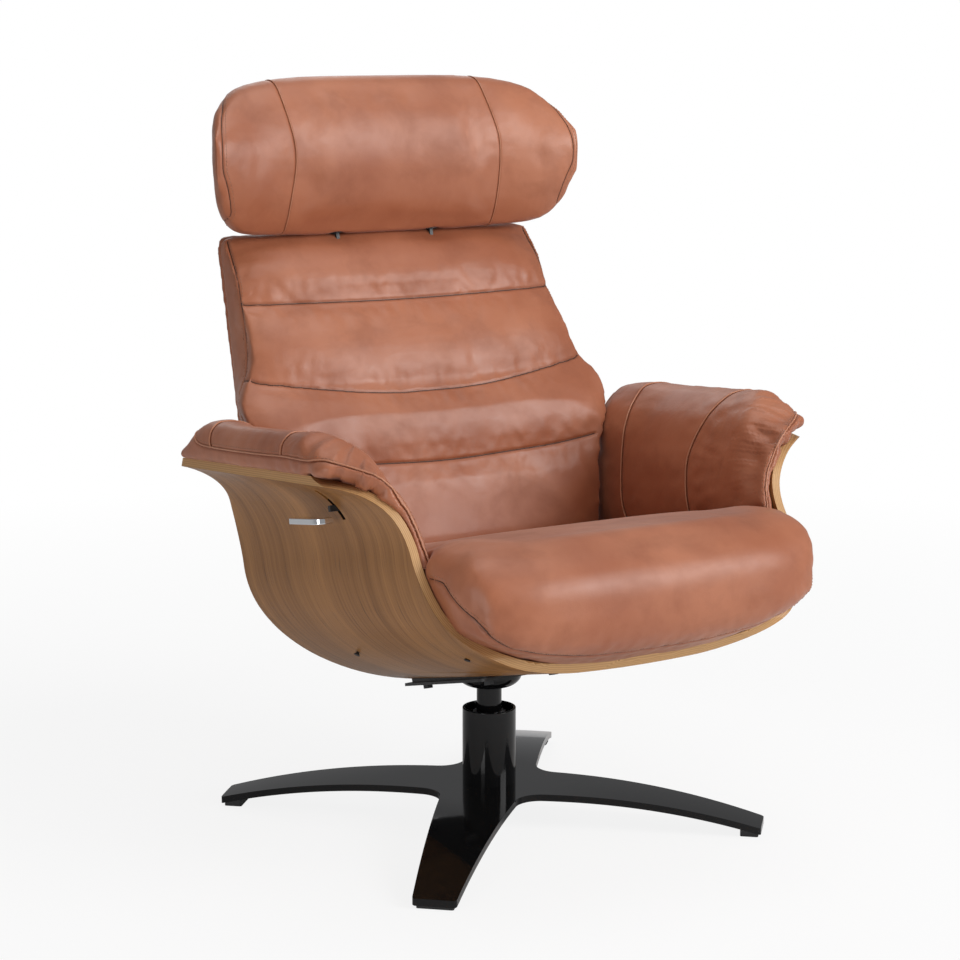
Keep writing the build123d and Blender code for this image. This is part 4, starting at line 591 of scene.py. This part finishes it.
def stuffed(piece, seams, voxel, settle=None, relax=0):
    """Fills a skin: it is remeshed evenly, drawn in, then blown out by cloth pressure while its seams are
    held.  No point ends deeper than HOLLOW under its first place, further than SWELL out of it, or further
    than SLIDE along it.  settle moves the points of the even skin beforehand, and relax smooths it."""
    mesh = even_skin(piece, voxel, relax).data
    if settle:
        set_points(mesh, settle(mesh, points_of(mesh)))
    skin = skin_of(piece)
    lines = [[place for place, _ in laid_on(skin, smooth_line(seam))] for seam in seams]
    away, _ = near_seams(piece, lines)
    held = np.exp(-(away / (1.6 * voxel)) ** 2)
    normals = np.array([v.normal[:] for v in mesh.vertices])
    first = points_of(mesh)
    set_points(mesh, first - normals * DRAWN_IN)
    group = piece.vertex_groups.new(name="sewn")
    for index in np.nonzero(held > PINNED)[0]:
        group.add([int(index)], float(held[index]), "REPLACE")
    cloth = piece.modifiers.new("stuffing", "CLOTH")
    settings = cloth.settings
    settings.use_pressure = True
    settings.uniform_pressure_force = PRESSURE
    settings.effector_weights.gravity = 0.0
    settings.vertex_group_mass = "sewn"
    settings.pin_stiffness = 1.0
    settings.quality = 4
    settings.tension_stiffness, settings.compression_stiffness = 12.0, 12.0
    settings.bending_stiffness = 0.4
    settings.shrink_min = -0.02
    cloth.point_cache.frame_start, cloth.point_cache.frame_end = 1, PRESSURE_FRAMES
    for moment in range(1, PRESSURE_FRAMES + 1):
        scene.frame_set(moment)
    blown = piece.evaluated_get(bpy.context.evaluated_depsgraph_get())
    moved = points_of(blown.to_mesh()) - first
    blown.to_mesh_clear()
    piece.modifiers.clear()
    piece.vertex_groups.clear()
    rise = np.sum(moved * normals, axis=1)
    aside = moved - normals * rise[:, None]
    slide = np.linalg.norm(aside, axis=1)[:, None]
    limit = np.where(rise > 0.0, SWELL, HOLLOW)
    rise = evened(mesh, limit * np.tanh(rise / limit), 10)
    kept = np.minimum(1.0, SLIDE / np.maximum(slide, 1e-9))
    set_points(mesh, first + normals * rise[:, None] + aside * kept)
    scene.frame_set(1)
    smooth = piece.modifiers.new("smooth_skin", "SUBSURF")
    smooth.levels = smooth.render_levels = 1
    return baked(piece)


SEAM_DEPTH = 0.0024
SEAM_SHADE_WIDTH = 0.0022
VALLEY_WIDTH = 0.017


def sewn(piece, seams, depth=SEAM_DEPTH, width=0.0024, puckers=0.0006, reach=0.012, pleats=70.0,
         gathers=None, valley=0.0, seam_shade_strength=1.0):
    """Presses the seams into the finished skin, with the small puckers that a tight thread pulls up beside
    them, about as many to the metre as pleats says.  gathers gives the puckers' strength at a place, valley
    is how deep the foam sinks broadly towards a seam, and the last argument how dark the painted shade
    along the seams is.  Returns the seams' lines."""
    for _ in range(2):
        skin = skin_of(piece)
        lines = [[place for place, _ in laid_on(skin, smooth_line(seam))] for seam in seams]
    work = bmesh.new()
    work.from_mesh(piece.data)
    away, _ = near_seams(piece, lines)
    close = [edge for edge in work.edges if all(away[v.index] < 2.6 * width for v in edge.verts)]
    bmesh.ops.subdivide_edges(work, edges=close, cuts=1, use_grid_fill=True, smooth=0.4)
    bmesh.ops.triangulate(work, faces=[face for face in work.faces if len(face.verts) > 4])
    for face in work.faces:
        face.smooth = True
    work.to_mesh(piece.data)
    work.free()
    mesh = piece.data
    away, along = near_seams(piece, lines)
    pull = -depth * np.exp(-(away / width) ** 2) - valley * np.exp(-(away / VALLEY_WIDTH) ** 2)
    points = points_of(mesh)
    normals = np.array([v.normal[:] for v in mesh.vertices])
    # A pucker rises from the seam and is highest one reach away from it.
    for index in np.nonzero((away > 0.002) & (away < 4.5 * reach))[0]:
        strength = puckers * (gathers(points[index]) if gathers else 1.0)
        rise = away[index] / reach
        wave = noise.noise(Vector((along[index] * pleats, rise * 0.6, 3.0)))
        pull[index] += strength * wave * rise * exp(1.0 - rise) * 1.6
    set_points(mesh, points + normals * pull[:, None])
    # The seam attribute holds the painted shade of the grooves, strongest on the seam line.
    shade = mesh.attributes.new("seam", "FLOAT", "POINT")
    shade.data.foreach_set("value", (seam_shade_strength * np.exp(-(away / SEAM_SHADE_WIDTH) ** 2)).astype(np.float32))
    return lines


def other_side(points):
    """The same points mirrored about the chair's middle."""
    return [(-x, y, z) for x, y, z in points]


def across(points):
    """A seam from one side to the other, from its left half, which ends at the middle."""
    return points + other_side(points[:-1])[::-1]


seat_side_seam = [(-0.245, 0.040, 0.410), (-0.250, -0.060, 0.428), (-0.253, -0.160, 0.438),
                  (-0.2556, -0.240, 0.440), (-0.2558, -0.2795, 0.4389), (-0.2568, -0.2959, 0.4384),
                  (-0.2544, -0.3109, 0.4323), (-0.2549, -0.3285, 0.4198), (-0.2579, -0.3476, 0.4054),
                  (-0.262, -0.366, 0.394), (-0.2582, -0.3807, 0.3829), (-0.2402, -0.3789, 0.3691),
                  (-0.2184, -0.3755, 0.358), (-0.1976, -0.3785, 0.3522), (-0.1685, -0.3802, 0.345),
                  (-0.1467, -0.380, 0.3407), (-0.0854, -0.3761, 0.3329), (-0.0232, -0.3727, 0.3302),
                  (0.0, -0.372, 0.330)]
SEAT_SEAMS = [across(seat_side_seam)]
NOSE_SPREAD = 0.0170
NOSE_SPREAD_UPWARD = 0.33
NOSE_MIDDLE_Z, NOSE_HALF_HEIGHT = 0.395, 0.035
NOSE_SETTLED = 0.0022
CROWN_RISE, SHOULDER_RISE = 0.008, 0.007


def filled_nose(mesh, points):
    """In front of the arm pads the cushion's sides spread to the wood, its nose lies on the wood's rim, and
    its front is crowned, with full and rounded corners."""
    x, y, z = points.T.copy()
    forward = eased_step(-0.238, -0.276, y) * eased_step(-0.392, -0.335, y)
    beside = eased_step(0.19, 0.245, np.abs(x)) * eased_step(0.470, 0.432, z)
    room = NOSE_SPREAD + NOSE_SPREAD_UPWARD * np.clip(z - NOSE_MIDDLE_Z, -NOSE_HALF_HEIGHT, NOSE_HALF_HEIGHT)
    x += np.sign(x) * room * forward * beside
    z -= NOSE_SETTLED * eased_step(-0.28, -0.30, y) * eased_step(0.40, 0.36, z)
    shoulder = eased_step(0.16, 0.23, np.abs(x)) * eased_step(-0.20, -0.26, y)
    crown = eased_step(-0.06, -0.20, y) * eased_step(-0.385, -0.32, y) * eased_step(0.40, 0.45, z)
    z += (CROWN_RISE + SHOULDER_RISE * shoulder) * crown
    corner = eased_step(0.17, 0.23, np.abs(x)) * eased_step(-0.29, -0.32, y) * eased_step(0.375, 0.400, z)
    return rounded(mesh, np.column_stack((x, y, z)), 24, corner)


seat_piece = solid_copy("seat_cushion", "seat_leather")
stuffed(seat_piece, SEAT_SEAMS, voxel=0.0065, settle=filled_nose, relax=10)
seat_flat = skin_of(seat_piece)
seat_lines = sewn(seat_piece, SEAT_SEAMS, puckers=0.0008)
seat_piece.data.materials.append(caramel_hide)
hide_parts("seat_cushion")
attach(seat_piece, "seat")


# Stitches and welts: the seams are topstitched with waxed thread, and a welt is the folded edge of the hide
# that stands up beside a seam.
def row_mesh(name, rows):
    """Loose lines on the skin, each point keeping the direction that it faces."""
    points, normals, links = [], [], []
    for row in rows:
        links += [(k, k + 1) for k in range(len(points), len(points) + len(row) - 1)]
        points += [place for place, _ in row]
        normals += [normal for _, normal in row]
    mesh = bpy.data.meshes.new(name)
    mesh.from_pydata(points, links, [])
    facing = mesh.attributes.new("facing", "FLOAT_VECTOR", "POINT")
    facing.data.foreach_set("vector", [axis for normal in normals for axis in normal])
    piece = bpy.data.objects.new(name, mesh)
    scene.collection.objects.link(piece)
    return piece


def stitch_tree():
    """Short threads laid end to end along the lines."""
    tree = bpy.data.node_groups.new("topstitching", "GeometryNodeTree")
    given = sockets(tree, {"Lines": "Geometry", "Pitch": "Float", "Length": "Float", "Thickness": "Float",
                           "Thread": "Material"}, {"Stitches": "Geometry"})
    curve = node(tree, "GeometryNodeMeshToCurve", {"Mesh": given["Lines"]})
    even = node(tree, "GeometryNodeResampleCurve", {"Curve": curve.outputs[0], "Length": given["Pitch"]},
                mode="LENGTH")
    tangent = node(tree, "GeometryNodeInputTangent")
    facing = node(tree, "GeometryNodeInputNamedAttribute", {"Name": "facing"}, data_type="FLOAT_VECTOR")
    along = node(tree, "FunctionNodeAlignRotationToVector", {"Vector": tangent.outputs[0]}, axis="X")
    upright = node(tree, "FunctionNodeAlignRotationToVector",
                   {"Rotation": along.outputs[0], "Vector": facing.outputs[0]}, axis="Z", pivot_axis="X")
    bead = node(tree, "GeometryNodeMeshUVSphere", {"Segments": 6, "Rings": 4, "Radius": 0.5})
    size = node(tree, "ShaderNodeCombineXYZ",
                {0: given["Length"], 1: given["Thickness"], 2: given["Thickness"]})
    copies = node(tree, "GeometryNodeInstanceOnPoints",
                  {"Points": even.outputs[0], "Instance": bead.outputs[0], "Rotation": upright.outputs[0],
                   "Scale": size.outputs[0]})
    real = node(tree, "GeometryNodeRealizeInstances", {0: copies.outputs[0]})
    soft = node(tree, "GeometryNodeSetShadeSmooth", {0: real.outputs[0]})
    done = node(tree, "GeometryNodeSetMaterial", {"Geometry": soft.outputs[0], "Material": given["Thread"]})
    node(tree, "NodeGroupOutput", {0: done.outputs[0]})
    return tree


def welt_tree():
    """A round cord of folded hide along the lines."""
    tree = bpy.data.node_groups.new("welt", "GeometryNodeTree")
    given = sockets(tree, {"Lines": "Geometry", "Radius": "Float", "Hide": "Material"}, {"Welt": "Geometry"})
    curve = node(tree, "GeometryNodeMeshToCurve", {"Mesh": given["Lines"]})
    ring = node(tree, "GeometryNodeCurvePrimitiveCircle", {"Resolution": 8, "Radius": given["Radius"]})
    tube = node(tree, "GeometryNodeCurveToMesh", {"Curve": curve.outputs[0], "Profile Curve": ring.outputs[0],
                                                  "Fill Caps": True})
    soft = node(tree, "GeometryNodeSetShadeSmooth", {0: tube.outputs[0]})
    done = node(tree, "GeometryNodeSetMaterial", {"Geometry": soft.outputs[0], "Material": given["Hide"]})
    node(tree, "NodeGroupOutput", {0: done.outputs[0]})
    return tree


STITCHES, WELT = stitch_tree(), welt_tree()
STITCH = {"Pitch": 0.0050, "Length": 0.0036, "Thickness": 0.0010, "Thread": thread}
SEAM_SHADOW_LIFT = 0.0005


def grown(name, rows, tree, inputs, body):
    """A piece grown along lines on the skin by a geometry tree, as a plain mesh."""
    piece = row_mesh(name, rows)
    maker = piece.modifiers.new(tree.name, "NODES")
    maker.node_group = tree
    for item in tree.interface.items_tree:
        if item.in_out == "INPUT" and item.name in inputs:
            maker[item.identifier] = inputs[item.name]
    baked(piece)
    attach(piece, body)
    return piece


def topstitched(name, skin, lines, asides, body):
    """Rows of stitches beside the seams, at each distance in asides."""
    rows = [laid_on(skin, line, aside, 0.0001) for line in lines for aside in asides]
    return grown(name, rows, STITCHES, STITCH, body)


def welted(name, skin, lines, aside, body, radius):
    """The folded edges of the hide that stand up beside the seams, in a paler hide that is a painted
    highlight along them.
    """
    rows = [laid_on(skin, line, aside, 0.0002) for line in lines]
    return grown(name, rows, WELT, {"Radius": radius, "Hide": welt_highlight_hide}, body)


def shadow_cords(name, flat_skin, lines, depth, body, radius=0.00075):
    """A near-black cord of painted shadow where two hides meet, at the bottom of a seam pressed so deep into
    its flat skin.
    """
    rows = [laid_on(flat_skin, line, 0.0, SEAM_SHADOW_LIFT - depth) for line in lines]
    return grown(name, rows, WELT, {"Radius": radius, "Hide": seam_shadow_hide}, body)


seat_skin = skin_of(seat_piece)
topstitched("seat_stitches", seat_skin, seat_lines, (0.0055,), "seat")
# A cord of painted shadow lies at the bottom of the seat's seam.
shadow_cords("seat_seam_shadows", seat_flat, seat_lines, SEAM_DEPTH, "seat")

# ---- Arm pads ----------------------------------------------------------------------------------------------
# Foam glued over the flare and down the inner wall, in three panels of hide joined by welted seams.  A
# narrow boxing strip runs round the wood's edge, where the tightly drawn cover gathers into small pleats.
arm_border = [(0.256, 0.150, 0.40), (0.262, 0.160, 0.44), (0.276, 0.166, 0.485), (0.305, 0.170, 0.530),
              (0.345, 0.173, 0.556), (0.372, 0.166, 0.560), (0.384, 0.137, 0.550), (0.383, 0.065, 0.553),
              (0.380, -0.039, 0.5618), (0.378, -0.096, 0.5676), (0.374, -0.155, 0.571),
              (0.364, -0.185, 0.574), (0.352, -0.2005, 0.575), (0.333, -0.2155, 0.570),
              (0.312, -0.2295, 0.561), (0.302, -0.2355, 0.551), (0.291, -0.2415, 0.538),
              (0.277, -0.2525, 0.514), (0.266, -0.2655, 0.485), (0.258, -0.274, 0.455)]
arm_rear_welt = [(0.384, 0.105, 0.553), (0.370, 0.118, 0.576), (0.347, 0.129, 0.5764),
                 (0.288, 0.107, 0.532), (0.2655, 0.0938, 0.4766), (0.257, 0.080, 0.4204),
                 (0.2565, 0.0636, 0.390)]
arm_front_welt = [(0.378, -0.090, 0.570), (0.360, -0.088, 0.590), (0.334, -0.084, 0.594),
                  (0.289, -0.076, 0.557), (0.269, -0.069, 0.515), (0.259, -0.075, 0.474),
                  (0.255, -0.091, 0.425), (0.255, -0.105, 0.395)]
PLEATS_BY_CORNER, PLEATS_ELSEWHERE = 2.6, 0.35
CORNER_Y, CORNER_SPREAD = -0.19, 0.085
PAD_END_FILL = 0.028
PAD_CORNER_REACH, PAD_CORNER_RISE = 0.010, 0.004
PAD_TAIL_Z = 0.446


def arm_gathers(place):
    """Pleats are strongest round the front corner of the pad."""
    return PLEATS_ELSEWHERE + PLEATS_BY_CORNER * exp(-((place[1] - CORNER_Y) / CORNER_SPREAD) ** 2)


def fitted_pad(mesh, points):
    """The pad's front end stops where the seat cushion's side meets the wood, and its upper front corner
    reaches out over it.  Its rear end is blunt: there the foam stands as full as elsewhere."""
    x, y, z = points.T.copy()
    end = eased_step(0.055, 0.135, y)
    for index in np.nonzero(end > 0.0)[0]:
        end[index] *= eased_step(0.002, 0.010, wood_skin.find_nearest(points[index])[3])
    rear = end * eased_step(0.47, 0.52, z)
    inner = eased_step(0.375, 0.325, np.abs(x))
    z += (0.001 + 0.002 * inner) * rear
    y += 0.003 * rear + PAD_END_FILL * inner * end * eased_step(0.39, 0.53, z)
    x -= np.sign(x) * 0.012 * rear * inner
    corner = eased_step(-0.08, -0.19, y) * eased_step(0.535, 0.565, z)
    y -= PAD_CORNER_REACH * corner
    z += PAD_CORNER_RISE * corner
    tucked = eased_step(-0.18, -0.235, y) * np.clip(PAD_TAIL_Z - z, 0.0, 1.0)
    moved = np.column_stack((x, y + 0.56 * tucked, z + 0.92 * tucked))
    return rounded(mesh, moved, 6, eased_step(0.03, 0.08, y))


wood_skin = skin_of(shell_piece)
for side, turn in (("right", lambda points: points), ("left", other_side)):
    seams = [turn(arm_border), turn(arm_rear_welt), turn(arm_front_welt)]
    pad = even_skin(solid_copy(f"arm_pad_{side}", f"arm_{side}_leather"), voxel=0.0048, relax=6, finer=1)
    set_points(pad.data, fitted_pad(pad.data, points_of(pad.data)))
    flat_skin = skin_of(pad)
    lines = sewn(pad, seams, depth=0.0020, puckers=0.0013, reach=0.019, pleats=52.0, gathers=arm_gathers)
    pad.data.materials.append(caramel_hide)
    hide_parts(f"arm_pad_{side}")
    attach(pad, "carrier")
    skin = skin_of(pad)
    inward = -1.0 if side == "right" else 1.0
    topstitched(f"arm_{side}_stitches", skin, lines[:1], (0.0062 * inward,), "carrier")
    welted(f"arm_{side}_welts", flat_skin, lines, 0.0012 * inward, "carrier", 0.0011)

# ---- Back --------------------------------------------------------------------------------------------------
# Foam on the back board with four channels quilted across it; side panels are sewn on along double-stitched
# seams, and a plain padded panel is tacked on behind.
back_channels = [across([(-0.2875, 0.187, 0.5135), (-0.270, 0.160, 0.5100), (-0.187, 0.139, 0.5035),
                         (-0.096, 0.1385, 0.4985), (0.0, 0.137, 0.4957)]),
                 across([(-0.2685, 0.2400, 0.6140), (-0.258, 0.207, 0.6165), (-0.165, 0.184, 0.6093),
                         (-0.060, 0.1731, 0.6020), (0.0, 0.173, 0.6010)]),
                 across([(-0.2560, 0.2830, 0.7180), (-0.245, 0.272, 0.7180), (-0.170, 0.2617, 0.7165),
                         (0.0, 0.2584, 0.7145)])]
back_side_seam = [(-0.246, 0.334, 0.803), (-0.250, 0.3085, 0.792), (-0.254, 0.2915, 0.754),
                  (-0.2555, 0.2825, 0.723), (-0.257, 0.2705, 0.693), (-0.262, 0.2595, 0.659),
                  (-0.266, 0.2495, 0.631), (-0.270, 0.2395, 0.610), (-0.280, 0.240, 0.588),
                  (-0.287, 0.2345, 0.565), (-0.284, 0.2185, 0.548), (-0.270, 0.205, 0.520),
                  (-0.258, 0.190, 0.490), (-0.252, 0.175, 0.450), (-0.249, 0.150, 0.400),
                  (-0.249, 0.130, 0.345)]
BACK_SEAMS = [*back_channels, back_side_seam, other_side(back_side_seam)]
BACK_TOP_RISE = 0.0028
BACK_VALLEY = 0.0022
back_piece = solid_copy("back_cushion", "back_leather")
# The solid's cushion is open round the headrest's two brackets; there the hide is drawn over foam.
bracket_room = [(0.300, 0.768), (0.3385, 0.768), (0.3385, 0.8052), (0.330, 0.8040), (0.3235, 0.7985),
                (0.319, 0.7940), (0.311, 0.7870), (0.303, 0.7800)]
work = bmesh.new()
work.from_mesh(back_piece.data)
for side in (-1, 1):
    near, far = [[work.verts.new((side * x, y, z)) for y, z in bracket_room] for x in (0.071, 0.089)]
    work.faces.new(near)
    work.faces.new(far[::-1])
    for k in range(len(bracket_room)):
        work.faces.new((near[k - 1], far[k - 1], far[k], near[k]))
bmesh.ops.recalc_face_normals(work, faces=work.faces)
work.to_mesh(back_piece.data)
work.free()


def filled_back(mesh, points):
    """The foam stands a little proud of its panel at the top, under the headrest, and fills out sideways
    between the arm pads."""
    x, y, z = points.T.copy()
    full = 0.003 + 0.005 * eased_step(0.47, 0.53, z)
    beside = eased_step(0.28, 0.23, y) * eased_step(0.20, 0.26, np.abs(x))
    x += np.sign(x) * full * eased_step(0.65, 0.59, z) * beside
    return np.column_stack((x, y, z + BACK_TOP_RISE * eased_step(0.775, 0.803, z)))


stuffed(back_piece, BACK_SEAMS, voxel=0.0062, settle=filled_back)
back_flat = skin_of(back_piece)
back_lines = sewn(back_piece, BACK_SEAMS, puckers=0.0008, valley=BACK_VALLEY)
back_piece.data.materials.append(caramel_hide)
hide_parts("back_cushion")
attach(back_piece, "back")
back_skin = skin_of(back_piece)
topstitched("back_side_stitches", back_skin, back_lines[3:], (-0.006, 0.006), "back")
# Cords of painted shadow lie at the bottom of the back's seams.
shadow_cords("back_seam_shadows", back_flat, back_lines, SEAM_DEPTH + BACK_VALLEY, "back")

cover_piece = even_skin(solid_copy("back_cover", "back_cover_leather"), voxel=0.0042, relax=5)
cover_border = [(-0.236, 0.235, 0.300), (-0.238, 0.262, 0.42), (-0.239, 0.300, 0.56), (-0.239, 0.335, 0.70),
                (-0.236, 0.358, 0.778), (-0.222, 0.362, 0.790), (-0.10, 0.366, 0.791), (0.0, 0.368, 0.791)]
cover_lines = sewn(cover_piece, [across(cover_border)], depth=0.0016, puckers=0.0006)
cover_piece.data.materials.append(caramel_hide)
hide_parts("back_cover")
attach(cover_piece, "back")
topstitched("back_cover_stitches", skin_of(cover_piece), cover_lines, (0.005,), "back")

# ---- Headrest ----------------------------------------------------------------------------------------------
# A bolster of foam round a stiffener, fuller in the middle than in its curled wings: a middle panel, two
# wing panels and two end panels of hide, sewn together and topstitched.
HEAD_MIDDLE = Vector((0.0, 0.335, 0.922))
HEAD_RADIUS = 0.11
PAST_THE_HEAD = 0.25
HEAD_SEAM_DEPTH = 0.0012
BELLY_DROP, END_DROP = 0.0115, 0.007
END_LAID_BACK = 0.013
head_piece = solid_copy("headrest_cushion", "headrest_leather")


def round_the_head(x_at):
    """A seam round the bolster, found by looking at its skin from all sides in a slice; x_at gives the
    slice's X at a height."""
    skin = skin_of(head_piece)
    ring = []
    for step in range(0, 360, 12):
        angle = radians(step - 60)
        out = Vector((0.0, cos(angle), sin(angle)))
        x = x_at(HEAD_MIDDLE.z + out.z * HEAD_RADIUS)
        start = HEAD_MIDDLE + out * PAST_THE_HEAD
        hit = skin.ray_cast(Vector((x, start.y, start.z)), -out, PAST_THE_HEAD)
        if hit[0]:
            ring.append(hit[0][:])
    return ring + ring[:1]


head_end = [(-0.247, 0.3455, 1.006), (-0.266, 0.305, 0.993), (-0.278, 0.2755, 0.972), (-0.286, 0.2465, 0.916),
            (-0.279, 0.2515, 0.885), (-0.264, 0.2895, 0.840), (-0.255, 0.330, 0.832), (-0.262, 0.352, 0.870),
            (-0.268, 0.350, 0.920), (-0.258, 0.358, 0.975), (-0.245, 0.360, 1.000), (-0.247, 0.3455, 1.006)]


def settled_bolster(mesh, points):
    """The belly hangs a little in front of the back's top edge; the ends are round, full below and laid back
    above."""
    x, y, z = rounded(mesh, points, 70, eased_step(0.238, 0.274, np.abs(points[:, 0]))).T.copy()
    aside = np.abs(x)
    belly = eased_step(0.890, 0.835, z)
    end = eased_step(0.16, 0.27, aside)
    y += END_LAID_BACK * end * eased_step(0.92, 1.0, z)
    x += np.sign(x) * (0.004 * belly * end + 0.0080 * eased_step(0.24, 0.285, aside))
    z -= BELLY_DROP * belly * eased_step(0.356, 0.328, y) + END_DROP * belly * end
    return np.column_stack((x, y, z))


HEAD_SEAMS = [round_the_head(lambda z: -0.1655 - 0.9 * (z - 0.915) ** 2),
              round_the_head(lambda z: 0.1680 - 1.4 * max(z - 0.93, 0.0) ** 2),
              head_end, other_side(head_end)]
stuffed(head_piece, HEAD_SEAMS, voxel=0.0052, settle=settled_bolster, relax=8)
head_flat = skin_of(head_piece)
head_lines = sewn(head_piece, HEAD_SEAMS, depth=HEAD_SEAM_DEPTH, width=0.0018, puckers=0.0003, seam_shade_strength=0.4)
head_piece.data.materials.append(caramel_hide)
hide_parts("headrest_cushion")
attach(head_piece, "headrest")
head_skin = skin_of(head_piece)
topstitched("headrest_stitches", head_skin, head_lines[2:], (0.0055,), "headrest")
welted("headrest_welts", head_flat, head_lines[:2], 0.0009, "headrest", 0.0007)
# Cords of painted shadow lie at the bottom of the end seams.
shadow_cords("headrest_seam_shadows", head_flat, head_lines[2:], HEAD_SEAM_DEPTH, "headrest", 0.0005)

# ---- Release lever -----------------------------------------------------------------------------------------
# A flat steel bar comes out through a slot in the shell at the sitter's right and ends in a die-cast paddle,
# polished and chrome plated.
chrome = handled("polished_chrome", {"Base Color": (0.80, 0.81, 0.83, 1), "Metallic": 1.0},
                 roughness=0.05, variation=0.06, grit=400.0, bump=0.05)
dress(chrome, "lever_paddle", "gas_spring_rod")
